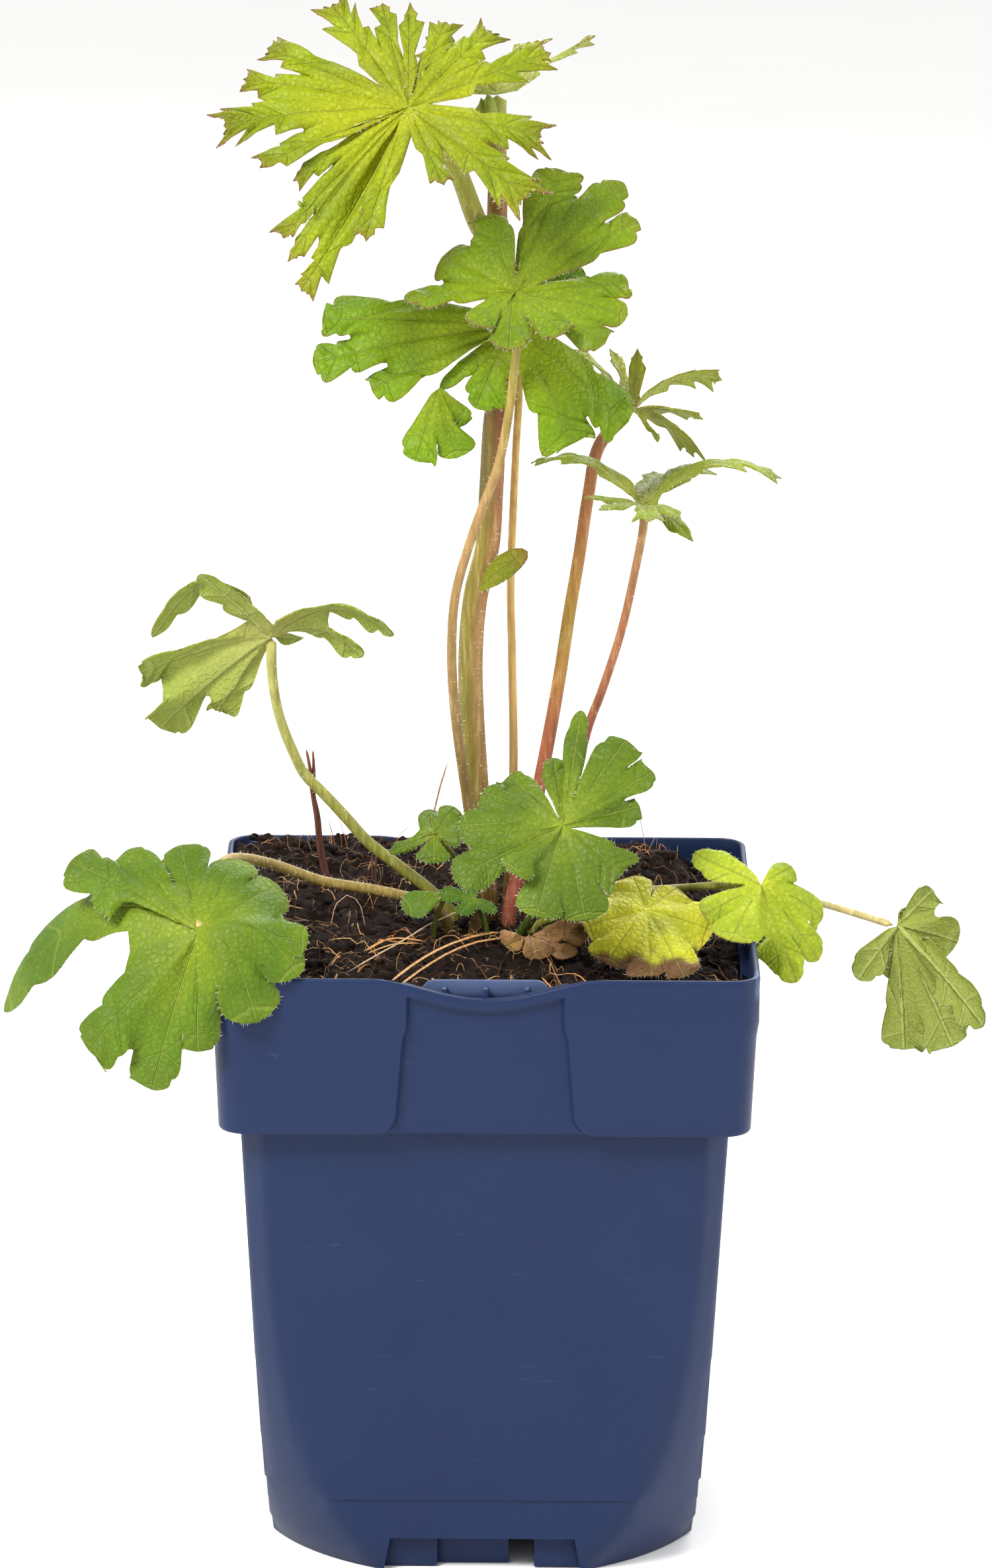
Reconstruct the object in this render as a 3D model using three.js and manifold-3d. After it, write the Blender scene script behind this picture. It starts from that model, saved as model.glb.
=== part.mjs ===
// A young potted delphinium: a hairy upright stem and long stalked, deeply cut leaves growing
// from peat in a square nursery pot of dark blue plastic.
// Millimetres, +Z up, origin on the pot's upright axis at floor level; the front faces -Y.
import * as THREE from 'three';
import { mergeVertices } from 'three/addons/utils/BufferGeometryUtils.js';
import Module from 'manifold-3d';

// Pot: a tapered square body with a stepped collar round its upper quarter.
const POT_HEIGHT = 141.2;
const RIM_HALF = 60;
const COLLAR_BOTTOM_HALF = 58.4;
const COLLAR_BOTTOM_Z = 105.2;
const COLLAR_FILLET = 6.5;
const SHOULDER_Z = 123.2;
const BODY_FOOT_HALF = 47.9;
const BODY_SEAM_HALF = 49.06;
const BODY_SHOULDER_HALF = 54.77;
const BODY_FILLET = 6;
const SEAM_Z = 17.2;
const SEAM_STEP = 0.4;
const WALL = 1.4;
const FLOOR_UNDER_Z = 7.9;
const FLOOR_TOP_Z = 9.4;
// The body's corners follow a cone: its radius at the floor and how much it grows on the way up.
const CONE_FOOT_RADIUS = 52;
const CONE_GROWTH = 22;
const CONE_GROWTH_HEIGHT = 40;
const CORNER_STEPS = 3;

// The dip in the middle of each rim side, and the recessed panel under it.
const DIP_DEPTH = 4.5;
const DIP_HALF = 24;
const BEAD_HEIGHT = 2.7;
const RECESS_DEPTH = 1.4;
const RECESS_TOP_HALF = 16.5;
const RECESS_BOTTOM_HALF = 19;
const RECESS_CORNER = 5;
const RECESS_HEIGHTS = [101, 105.2, 105.6, 106.7, 108.2, 110.2, 133];

// The label tab standing inside the front of the rim.
const TAB_Y = -54;
const TAB_HALF = 14;
const TAB_TOP_Z = 138.9;
const TAB_THICK = 1.2;

// Feet: a notch in the middle of each side leaves four corner feet.
const NOTCH_HALF = 22;
const NOTCH_TOP_HALF = 20.6;
const DRAIN_RADIUS = 1.8;
const DRAIN_SPACING = 26;

// Peat: mean height of its surface, its slopes, and the play left to whatever it touches.
const SOIL_Z = 133.8;
const SOIL_SLOPE_X = -0.045;
const SOIL_SLOPE_Y = 0.045;
const SOIL_CELLS = 14;
const PLAY = 0.4;
const HOLE_PLAY = 0.35;
const HOLE_SIDES = 6;
const WELD = 0.02;

// Leaves: blade thickness, and how far the side rays lean towards the lobe tip.
const BLADE = 0.7;
const RAY_LEAN = 1.0;
const RAY_LEAN_LOSS = 0.55;
const WIDEST_AT = 0.4;
const ROUND_TAPER = 1.8;
const HUB_RADIUS = 1.5;

// Surface looks.
const LOOKS = {
  pot: { color: 0x34446a, roughness: 0.5, metalness: 0 },
  soil: { color: 0x2a1a12, roughness: 0.95, metalness: 0 },
  stem: { color: 0x8a7a3c, roughness: 0.6, metalness: 0 },
  bright: { color: 0x9dbb1e, roughness: 0.55, metalness: 0 },
  green: { color: 0x6a9a20, roughness: 0.55, metalness: 0 },
  deep: { color: 0x4f8a2a, roughness: 0.55, metalness: 0 },
  yellow: { color: 0xb3b03a, roughness: 0.65, metalness: 0 },
  dry: { color: 0x8a6a4a, roughness: 0.85, metalness: 0 },
};

// Each leaf: where its lobes meet, the way its upper face looks, the number and depth of teeth on
// each side of a lobe, how much the lobe edges curl down, how far joined lobes lap over one another,
// and its stalk as a path from the peat.
// Each lobe: reach x, y, z, half width, arching, twist in degrees, the share of its length joined
// to the next lobe, teeth on each side if not the leaf's own number, and how far its middle is
// lifted. Lobes run anticlockwise, seen from above the leaf.
const LEAVES = {
  leaf_top: {
    look: 'bright', centre: [-17.9, -14, 324.7], face: [0, -1, 1], teeth: 4, depth: 0.42, taper: 1.05, curl: 1.2,
    lobes: [
      [8, -16, -14, 3, 1, 0, 0.55, 2], [26, -14, -17, 6.5, 2, 0, 0.65, 3], [29, -4, -5, 6, 2, 0, 0.36, 3],
      [31, 10, 11, 5.5, 2, 0, 0.5, 3], [18, 17, 15, 5, 1, 0, 0.7, 2], [8, 19, 16, 4, 1, 0, 0.25, 2],
      [0, 20, 20, 3.5, 1, 0, 0.3, 2], [-6, 20, 20, 3.5, 1, 0, 0.65, 2], [-17, 20, 20, 6, 1, 0, 0.42, 3],
      [-31, 8, 12, 5, 2, 0, 0.72, 2], [-36, 3, 6, 3.5, 2, 0, 0.8, 2], [-40, -6, -3, 6, 4, 0, 0.66, 3],
      [-32, -12, -11, 4.5, 3, 0, 0.12, 2], [-25, -10, -14, 4, 3, 0, 0.7, 2], [-27, -15, -26, 4.5, 4, 0, 0.78, 2],
      [-26, -16, -31, 3, 5, 0, 0.8, 1], [-23, -18, -37, 4.5, 6, 0, 0.66, 3, -7], [-9, -18, -26, 3.2, 4, 0, 0, 2],
    ],
    stalkRadius: 2.2,
    stalk: [[1.3, 0, 285.2], [0.6, -1, 291.2], [-2.8, -3, 297.5], [-7.5, -8, 310.4], [-12.6, -12, 319], [-17.8, -13.4, 324.6]],
  },
  leaf_behind_top: {
    look: 'green', centre: [1.3, 14, 323.5], face: [-0.6, -0.5, 1], teeth: 4, depth: 0.35, taper: 1.1, curl: 1,
    lobes: [
      [21, 6, 12, 4.5, 1, -40, 0.5, 3], [7, 16, 9, 5, 1, 0, 0.3, 2], [-16, 8, 11, 5, 2, 0, 0.4, 2],
    ],
    stalkRadius: 2.3,
    stalk: [[1.3, 0, 285.2], [1.3, 0.6, 291.2], [1.5, 3.5, 301.8], [1.4, 8, 312.2], [1.3, 13.6, 323]],
  },
  leaf_middle: {
    look: 'green', centre: [5.2, -16, 284.4], face: [0, -1, 1.2], teeth: 3, depth: 0.34, curl: 1.2,
    lobes: [
      [-1, -18, -9, 5, 2, 0, 0.5, 2], [11, -13, -6, 4.5, 2, 0, 0.68, 2], [20, -9, -9, 5, 2, 0, 0.75, 2],
      [25, -2, -4, 4, 2, 0, 0.75, 2], [25, 4, 2, 4, 1, 0, 0.35, 2], [27, 14, 14, 4.5, 1, 0, 0.75, 2],
      [24, 21, 21, 6, 1, 0, 0.75, 2], [10, 25, 23, 6, 1, 0, 0.36, 3], [-5, 9, 16, 4.5, 1, 0, 0.8, 1],
      [-16, 6, 7, 6, 2, 0, 0.8, 2], [-24, -4, 0, 3.5, 2, 15, 0.4, 2], [-9, -14, -4, 4, 2, 0, 0.6, 2],
    ],
    stalkRadius: 1.15,
    stalk: [[-3.5, 3.5, 124.2], [-3.5, 3.5, 130.2], [-2, 3, 139.2], [-2.5, 1, 150.7], [-4.2, -1, 164.4], [-7.2, -6, 187.5], [-8, -8, 201.2],
      [-7.3, -9, 214.6], [-4.3, -10, 226.5], [-1.7, -11, 234.5], [2, -12, 244.9], [4.1, -13, 255.7], [5.7, -14, 269.6], [6.4, -15.4, 277.2], [5, -15.8, 283.8]],
  },
  leaf_middle_back: {
    look: 'green', centre: [5, -6, 275.3], face: [0, -1, 1], teeth: 3, depth: 0.34, curl: 1.4,
    lobes: [
      [14, -6, -25, 8, 3, 0, 0.85, 2], [25, -1, -22, 7, 4, 0, 0.3, 2], [15, 12, 11, 6, 2, 0, 0, 2],
      [-42, 6, 0, 7.5, 2, 0, 0.8, 2], [-44, 2, -9, 6.5, 3, 0, 0.8, 2], [-31, -3, -14, 5, 3, 0, 0.35, 2],
      [-16, -2, -14, 2.6, 1, 0, 0.4, 1], [-8, -4, -18, 7, 2, 0, 0, 2],
    ],
    // The end of one lobe hangs from a narrow neck and curls down on its own.
    blades: [{
      centre: [-11.1, -8, 261.6], face: [-0.4, -1, 0.2], teeth: 1, depth: 0.3, curl: 0.8,
      lobes: [
        [-5, -3, -16, 5, 1, 0, 0.7, 1], [4, -4, -15, 5, 1, 0, 0.7, 1], [6, -2, -8, 4, 1, 0, 0, 1],
      ],
    }],
    stalkRadius: 1,
    stalk: [[4.5, 13.5, 124.2], [4.5, 13.5, 130.2], [4.8, 14, 141.2], [5.9, 14, 168.8], [5.4, 14, 195.9], [5, 13, 212.4], [5.4, 10, 229.2], [6, 5.5, 246.2],
      [6.5, 0, 261], [5.3, -5, 272.4], [5, -6, 275.2]],
  },
  leaf_right_upper: {
    look: 'green', centre: [32, 14, 252.5], face: [0, 0.6, 1], teeth: 3, depth: 0.5, curl: 1,
    lobes: [
      [5, -5, -4, 2.6, 1, 0, 0.5, 1], [14, 1, -11, 5, 1, 0, 0, 2, 4], [16, 6, -3, 5, 2, 0, 0, 2],
      [20, 4, 6, 4, 2, -30, 0.3, 3, 6], [1, 9, 12, 2.6, 1, 0, 0.4, 1], [-5, 14, 11, 4.5, 1, 0, 0, 2],
      [-11, 16, 11, 4.5, 1, 0, 0, 2],
    ],
    stalkRadius: 1.6,
    stalk: [[4.5, 6, 124.2], [4.5, 6, 130.2], [5.4, 6.4, 139.2], [8.6, 9, 151.2], [12.1, 12, 167.7], [15.9, 15, 188.9], [18.3, 17, 205.2], [20.4, 18, 218.2],
      [22.2, 18, 231.3], [24.6, 17, 243.4], [31, 14.3, 251.6]],
  },
  leaf_right_middle: {
    look: 'green', centre: [34.1, -4, 234.8], face: [0, -0.15, 1], teeth: 3, depth: 0.4, curl: 1,
    lobes: [
      [-13, -10, 4, 2.5, 2, 0, 0.3, 1], [-10, -17, 3, 3, 2, 0, 0.3, 1], [1, -24, 2, 4, 2, 0, 0.4, 2],
      [8, -20, 2, 3, 2, 0, 0.4, 1], [11, -14, -5, 3, 3, 0, 0.3, 1], [31, 6, 5, 5.5, 2, -15, 0.4, 3, 11],
      [13, 20, 5, 5, 3, 0, 0.5, 2], [5, 24, 2, 5, 3, 0, 0.3, 2], [-25, 6, 8, 4.5, 2, 15, 0, 3, 9],
    ],
    stalkRadius: 1.1,
    stalk: [[9, 9, 124.2], [9, 9, 130.2], [10, 9.4, 141.2], [17.1, 11, 158.2], [22.9, 10, 181], [25.5, 8, 188.8], [29.7, 5, 203.4], [32.7, 1, 218.9],
      [34.4, -3, 231], [34.1, -3.9, 234.4]],
  },
  leaf_left_middle: {
    look: 'green', centre: [-48.6, -4, 204.3], face: [0, 0.62, 0.8], teeth: 3, depth: 0.3, curl: 1.2, lap: 0.2,
    lobes: [
      [-12, 4, -18, 5, 1, 0, 0.8, 2], [-25, 4, -22, 6, 2, 0, 0.72, 2], [-29, 3, -9, 8.5, 3, 0, 0.3, 2],
      [-26, -2, 0, 4.5, 3, 0, 0.4, 3, 22], [-15, -9, 16, 4.5, 2, 0, 0.3, 2], [28, -2, 1, 4, 2, 0, 0.6, 2, 11],
      [21, 2, -5, 4.5, 2, 0, 0.4, 2, 7], [7, 6, -2, 3, 1, 0, 0, 1],
    ],
    stalkRadius: 1.3,
    stalk: [[-6, 10, 124.2], [-6, 10, 130.2], [-8.4, 9.8, 137.2], [-12.7, 9.5, 141.9], [-20.1, 9, 148], [-26.6, 8, 153.5], [-31.9, 7, 159.8], [-37, 6, 165.7],
      [-41.1, 5, 170.3], [-43.6, 4, 175.7], [-46.5, 2, 184.2], [-48, -1, 193.9], [-48.2, -3.6, 203.8]],
  },
  leaf_left_low: {
    look: 'green', centre: [-62.5, -55, 150.1], face: [-0.1, -1, 1], teeth: 3, depth: 0.26, curl: 1.4, lap: 0.2,
    lobes: [
      [-10, -6, -34, 6.5, 3, 0, 0.8, 2], [0, -7, -25, 5, 3, 0, 0.42, 2], [13, -8, -18, 6, 4.5, 0, 0.7, 2, 13],
      [22, -6, -8, 6, 3, 0, 0.8, 2, 13], [24, -3, -1, 5, 3, 0, 0.7, 2], [17, 18, 6, 6.5, 3, 0, 0.5, 1],
      [-5, 26, 13, 6.5, 2, 0, 0.55, 1], [-17, 22, 13, 5, 3, 0, 0.8, 1], [-29, 18, 11, 5, 5, 0, 0.36, 2],
      [-45, 30, -27, 5, 4, 0, 0.43, 2, 26], [-24, -3, -26, 6.5, 4, 0, 0.78, 2],
    ],
    stalkRadius: 1.25,
    stalk: [[-8, 5, 124.2], [-8, 5, 130.2], [-9, 4.4, 136.2], [-12.5, 3.6, 140.2], [-20, 2.6, 142.8], [-26.4, 2.2, 144.2], [-36.9, 0, 146.6], [-48, -6, 152.2],
      [-57, -20, 157.2], [-61.4, -38, 156.2], [-62.5, -54.6, 150.2]],
  },
  leaf_front: {
    look: 'deep', centre: [16.9, -26, 166.9], face: [0, -1, 1], teeth: 2, depth: 0.26, curl: 1,
    lobes: [
      [-6, -14, -17, 5.5, 2, 0, 0.8, 2], [5, -13, -18, 6, 2, 0, 0.8, 2], [13, -7, -9, 6, 2, 0, 0.12, 2],
      [17, 6, 3, 4.5, 1, 0, 0.8, 1], [20, 10, 10, 5, 1, 0, 0.8, 1], [14, 15, 16, 5.5, 1, 0, 0.5, 1],
      [4, 22, 21, 3, 1, 0, 0.6, 1], [-4, 17, 10, 4.5, 1, 0, 0.1, 1], [-9, 13, 9, 5, 1, 0, 0.85, 1],
      [-18, 7, 6, 5, 1, 0, 0.85, 1], [-23, 0, 0, 5, 2, 0, 0.85, 1], [-24, -9, -10, 5.5, 2, 0, 0.7, 2],
      [-12, -12, -7, 4.5, 2, 0, 0.75, 1],
    ],
    stalkRadius: 1.2,
    stalk: [[7, 0, 124.2], [7, 0, 130.2], [7.4, -2, 134.2], [9.6, -6, 139.2], [12.4, -10.5, 145.2], [15.3, -18, 156.2], [17.6, -25, 166.6]],
  },
  leaf_yellowing: {
    look: 'yellow', centre: [35.8, -13, 144.1], face: [0, -0.8, 1], teeth: 2, depth: 0.14, curl: 1,
    lobes: [
      [-9, -13, -9, 6, 4.2, 0, 0.85, 1], [1, -18, -10, 6, 2, 0, 0.85, 1], [8, -19, -10, 5, 2, 0, 0.8, 1],
      [15, -6, -3, 7, 1, 0, 0.8, 2], [7, 8, 3, 6, 1, 0, 0, 1], [-3, 11, 5, 6, 1, 0, 0.8, 1],
      [-14, -4, -3, 6, 1, 0, 0.85, 1],
    ],
    stalkRadius: 1,
    stalk: [[10, 3, 124.2], [10, 3, 130.2], [11, 2.6, 135.2], [15, 0, 138.2], [21.5, -3, 140.2], [30.3, -8, 142.5], [35.6, -11.6, 143.8]],
  },
  leaf_right_low: {
    look: 'bright', centre: [61.2, -14, 150.3], face: [-0.2, -0.8, 1], teeth: 2, depth: 0.25, curl: 1,
    lobes: [
      [-7, -14, -9, 6, 2, 0, 0.85, 1], [8, -6, -21, 4.5, 4, 0, 0.6, 2], [13, -2, -17, 4, 4, 0, 0.75, 1],
      [14, 2, -8, 4, 4, 0, 0.8, 1], [7, 4, 3, 3.5, 1, 0, 0, 1], [-15, 8, 5, 4.5, 1, 0, 0.4, 1],
      [-13, -4, -6, 5, 1, 0, 0.8, 1],
    ],
    stalkRadius: 0.9,
    stalk: [[13, 6.5, 124.2], [13, 6.5, 130.2], [14.5, 6.8, 135.2], [20, 7.4, 138.2], [27.6, 8, 140.2], [44.3, 2, 145], [50.3, -5, 147.6], [61, -13.4, 150.2]],
  },
  leaf_far_right: {
    look: 'green', centre: [92.3, -4, 138.2], face: [0, 1, 0.3], teeth: 2, depth: 0.28, curl: 1.2,
    lobes: [
      [2, 4, 2, 2.5, 0.5, 0, 0.4, 1], [8, 6, 7, 3.5, 1, 0, 0.7, 1], [14, 2, -4, 6, 2, 0, 0.5, 2],
      [19, -18, -18, 4.5, 3, 0, 0.6, 2], [13, -4, -27, 6, 3, 0, 0.8, 2], [2, 0, -29, 5, 3, 0, 0.35, 2],
      [-1, 2, -13, 3.5, 1, 0, 0.3, 1], [-9, -2, -12, 4.5, 1, 0, 0, 1],
    ],
    stalkRadius: 0.9,
    stalk: [[12, 12, 124.2], [12, 12, 130.2], [14, 12.4, 135.2], [25, 13, 139.8], [39.7, 11, 142.2], [59, 6, 144], [75, 2.4, 141.6], [84, 0, 139.6], [91.5, -3.6, 138.2]],
  },
  leaf_small: {
    look: 'green', centre: [-12, 2, 157.2], face: [0, -1, 1], teeth: 1, depth: 0.2, curl: 0.6,
    lobes: [
      [0, -6, -5, 4, 0.5, 0, 0.4], [7, -2, 1, 3.5, 0.5, 0, 0.5], [5, 6, 5, 3.4, 0.5, 0, 0.5],
      [-1, 8, 4, 3, 0.5, 0, 0.5], [-10, 2, -5, 1.8, 1, 0, 0.2],
    ],
    stalkRadius: 0.7,
    stalk: [[-2.5, 15.5, 124.2], [-2.5, 15.5, 130.2], [-3, 15, 137.2], [-5.4, 12, 145.2], [-9, 6, 153.2], [-11.8, 2.2, 157]],
  },
  leaf_round: {
    look: 'green', centre: [-12, -3.4, 144], face: [-0.2, -0.7, 1], teeth: 1, depth: 0.05, curl: 0.4,
    lobes: [
      [-1, -4, -4, 4, 0.4, 0, 0.85], [3, -2, -2, 3.2, 0.3, 0, 0], [-7, -1.5, -2.2, 4.5, 0.5, 0, 0.85],
    ],
    stalkRadius: 0.6,
    stalk: [[-12, -2, 124.2], [-12, -2, 130.2], [-12, -2.2, 137.2], [-12, -3.2, 143.8]],
  },
  leaf_tiny: {
    look: 'deep', centre: [-3, -4, 143.8], face: [0, -0.6, 1], teeth: 1, depth: 0.2, curl: 0.3,
    lobes: [
      [-3, -4, -2.5, 2.2, 0.3, 0, 0.5], [5.5, -1, -2.5, 1.8, 0.5, 0, 0.3], [-1, 4, 2, 2, 0.3, 0, 0.4],
      [-7.5, 0.5, 1.5, 2.5, 0.6, 0, 0.5],
    ],
    stalkRadius: 0.6,
    stalk: [[0.5, -3.5, 124.2], [0.5, -3.5, 130.2], [0, -3.6, 137.2], [-2.9, -4, 143.6]],
  },
  dead_leaf: {
    look: 'dry', centre: [9.6, -7, 136.1], face: [0.1, -0.5, 1], teeth: 1, depth: 0.3, curl: -1.2,
    lobes: [
      [3, -9, -2.4, 4, 1.4, 25, 0.6], [10, -7, -2, 4.5, -1.2, -30, 0.6], [13, -1, 0.6, 4, 1.5, 35, 0.5],
      [-5, -5, -1, 3, 0.8, -30, 0.5],
    ],
  },
};

// The upright stem and what grows from it besides the two top leaves.
const STEM_RADIUS = 2.7;
const STEM_PATH = [[0, 9, 124.2], [0, 9, 130.2], [-0.2, 9, 141.2], [-2.2, 8, 165.1], [-3.4, 7, 184.2], [-3.7, 6, 197.8], [-2.7, 5, 211.3],
  [-0.1, 4, 223.3], [0.7, 3, 236.7], [1.3, 2, 249.9], [2.4, 1, 262.5], [1.6, 0, 279.1], [1.2, 0, 286]];
const BRACT = {
  centre: [-3.6, 3, 212.2], face: [-0.7, -0.8, 0.8], teeth: 1, depth: 0.1, curl: -0.8,
  lobes: [[13, -3.5, 10.5, 3.4, 1, 0, 0]],
};
const BUD = { centre: [-1, 9, 317.2], radius: 2.6, height: 6 };

// A dry forked twig standing in the peat at the back left.
const TWIG_RADIUS = 0.9;
const TWIG_PATH = [[-36.2, 30, 125.2], [-36.2, 30, 131.2], [-36.4, 30, 137.2], [-38, 29, 146.4], [-38.7, 28, 154.1], [-39.6, 27.4, 159.2], [-40, 27, 163.2]];
const TWIG_FORKS = [[[-39.8, 27.2, 161.2], [-40.4, 26.6, 166.2], [-41.2, 26.2, 170.6]], [[-39.8, 27.2, 161.2], [-39.5, 27.2, 166.2], [-39.7, 27.4, 170.2]]];

const wasm = await Module();
wasm.setup();

// Turns a closed geometry into a solid for adding and cutting.
function solidOf(geometry) {
  const bare = new THREE.BufferGeometry();
  bare.setAttribute('position', geometry.getAttribute('position'));
  if (geometry.index) bare.setIndex(geometry.index);
  const merged = mergeVertices(bare, 1e-4);
  return new wasm.Manifold(new wasm.Mesh({
    numProp: 3,
    vertProperties: Float32Array.from(merged.getAttribute('position').array),
    triVerts: Uint32Array.from(merged.index.array),
  }));
}

// The largest connected body of a solid, without the slivers that adding thin sheets can leave.
function largest(solid) {
  return solid.decompose().reduce((best, body) => (body.volume() > best.volume() ? body : best));
}

// Turns a solid back into a mesh with flat facets.
function meshOf(solid, name, look) {
  const data = largest(solid.simplify(WELD)).getMesh();
  const shared = new THREE.BufferGeometry();
  shared.setAttribute('position', new THREE.BufferAttribute(Float32Array.from(data.vertProperties), 3));
  shared.setIndex(Array.from(data.triVerts));
  const geometry = shared.toNonIndexed();
  geometry.computeVertexNormals();
  const mesh = new THREE.Mesh(geometry, new THREE.MeshStandardMaterial(LOOKS[look]));
  mesh.name = name;
  return mesh;
}

// A closed skin over a stack of outlines that all have the same number of points.
function loft(layers) {
  const positions = [];
  const faces = [];
  const count = layers[0].points.length;
  for (const layer of layers) {
    for (const [x, y] of layer.points) positions.push(x, y, layer.z);
  }
  for (let k = 0; k + 1 < layers.length; k += 1) {
    for (let i = 0; i < count; i += 1) {
      const j = (i + 1) % count;
      const a = k * count + i;
      const b = k * count + j;
      faces.push(a, b, b + count, a, b + count, a + count);
    }
  }
  const top = (layers.length - 1) * count;
  for (let i = 1; i + 1 < count; i += 1) {
    faces.push(0, i + 1, i);
    faces.push(top, top + i, top + i + 1);
  }
  const geometry = new THREE.BufferGeometry();
  geometry.setAttribute('position', new THREE.Float32BufferAttribute(positions, 3));
  geometry.setIndex(faces);
  return solidOf(geometry);
}

// A square outline with filleted corners, cut back by a circle where the circle is smaller.
function squareOutline(half, fillet, radius) {
  const inner = half - fillet;
  const flat = Math.min(inner, Math.sqrt(Math.max(radius * radius - half * half, 1)));
  const startAngle = Math.atan2(flat, half);
  const points = [];
  for (let corner = 0; corner < 4; corner += 1) {
    const turn = corner * Math.PI / 2;
    for (let k = 0; k <= CORNER_STEPS; k += 1) {
      const angle = startAngle + (Math.PI / 2 - 2 * startAngle) * k / CORNER_STEPS;
      const along = inner * (Math.cos(angle) + Math.sin(angle));
      const toFillet = along + Math.sqrt(Math.max(along * along - 2 * inner * inner + fillet * fillet, 0));
      const reach = Math.min(toFillet, radius, half / Math.max(Math.cos(angle), Math.sin(angle)));
      points.push([reach * Math.cos(angle + turn), reach * Math.sin(angle + turn)]);
    }
  }
  return points;
}

// Half width of the pot body at a height, with the small step at the seam above the feet.
function bodyHalf(z) {
  if (z < SEAM_Z) return BODY_FOOT_HALF + (BODY_SEAM_HALF - SEAM_STEP - BODY_FOOT_HALF) * z / SEAM_Z;
  return BODY_SEAM_HALF + (BODY_SHOULDER_HALF - BODY_SEAM_HALF) * (z - SEAM_Z) / (SHOULDER_Z - SEAM_Z);
}

function coneRadius(z) {
  return CONE_FOOT_RADIUS + CONE_GROWTH * (1 - Math.exp(-Math.max(z, 0) / CONE_GROWTH_HEIGHT));
}

function collarHalf(z) {
  const rise = (z - COLLAR_BOTTOM_Z) / (POT_HEIGHT - COLLAR_BOTTOM_Z);
  return COLLAR_BOTTOM_HALF + (RIM_HALF - COLLAR_BOTTOM_HALF) * rise;
}

function bodyLayer(z, inset, height = z) {
  return { z, points: squareOutline(bodyHalf(height) - inset, BODY_FILLET - inset, coneRadius(height) - inset) };
}

function collarLayer(z, inset) {
  return { z, points: squareOutline(collarHalf(z) - inset, COLLAR_FILLET - inset, 3 * RIM_HALF) };
}

// A prism standing on an x, z polygon, running along y.
function prismAlongY(points, from, to) {
  const shape = new THREE.Shape(points.map(([x, z]) => new THREE.Vector2(x, z)));
  const geometry = new THREE.ExtrudeGeometry(shape, { depth: to - from, bevelEnabled: false });
  geometry.rotateX(Math.PI / 2);
  geometry.translate(0, to, 0);
  return solidOf(geometry);
}

// The four copies of a solid, one on each side of the pot.
function onFourSides(solid) {
  let all = solid;
  for (let k = 1; k < 4; k += 1) all = all.add(solid.rotate([0, 0, 90 * k]));
  return all;
}

function dipHeight(x) {
  const wave = Math.cos(Math.PI * x / (2 * DIP_HALF));
  return POT_HEIGHT - DIP_DEPTH * wave * wave;
}

// Half the width of the recessed panel at a height; its foot flares where the corner panels
// beside it have rounded corners.
function recessHalf(z) {
  const lift = COLLAR_BOTTOM_Z + RECESS_CORNER;
  if (z < lift) {
    const drop = Math.min(lift - z, RECESS_CORNER);
    return RECESS_BOTTOM_HALF + RECESS_CORNER - Math.sqrt(RECESS_CORNER * RECESS_CORNER - drop * drop);
  }
  const rise = (z - lift) / (POT_HEIGHT - lift);
  return RECESS_BOTTOM_HALF + (RECESS_TOP_HALF - RECESS_BOTTOM_HALF) * rise;
}

// The recessed middle panel as a block: its outer face stands clear of the collar and its inner
// face lies the given distance behind the collar's outside.
function recessBlock(inset, heights, grow) {
  const outline = heights.map((z) => new THREE.Vector2(recessHalf(z) + grow, z));
  if (grow === 0) {
    const half = recessHalf(dipHeight(RECESS_TOP_HALF));
    for (let k = 5; k > -5; k -= 1) {
      outline.push(new THREE.Vector2(half * k / 5, dipHeight(half * k / 5) - BEAD_HEIGHT));
    }
    outline.push(new THREE.Vector2(-half, dipHeight(half) - BEAD_HEIGHT));
  }
  for (const z of [...heights].reverse()) outline.push(new THREE.Vector2(-recessHalf(z) - grow, z));
  const geometry = new THREE.ExtrudeGeometry(new THREE.Shape(outline), { depth: 1, bevelEnabled: false });
  geometry.rotateX(Math.PI / 2);
  const place = geometry.getAttribute('position');
  for (let i = 0; i < place.count; i += 1) {
    const inner = place.getY(i) > -0.5;
    place.setY(i, inner ? inset - collarHalf(place.getZ(i)) : -RIM_HALF - 4);
  }
  return solidOf(geometry);
}

function box(x0, x1, y0, y1, z0, z1) {
  const geometry = new THREE.BoxGeometry(x1 - x0, y1 - y0, z1 - z0);
  geometry.translate((x0 + x1) / 2, (y0 + y1) / 2, (z0 + z1) / 2);
  return solidOf(geometry);
}

// The room inside the pot, shrunk by some play. Used for the pot itself and for the peat.
function potRoom(play) {
  const inset = WALL + play;
  const lower = [FLOOR_TOP_Z + play, SEAM_Z, 28, 44, 70, SHOULDER_Z + WALL + play];
  const body = loft(lower.map((z) => bodyLayer(z, inset, Math.min(z, SHOULDER_Z))));
  const rimRoom = loft([SHOULDER_Z + WALL + play, 132, POT_HEIGHT + 2].map((z) => collarLayer(z, inset)));
  const panels = onFourSides(recessBlock(RECESS_DEPTH + inset, [SHOULDER_Z - 1, POT_HEIGHT + 3], WALL + play));
  return body.add(rimRoom.subtract(panels));
}

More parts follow.
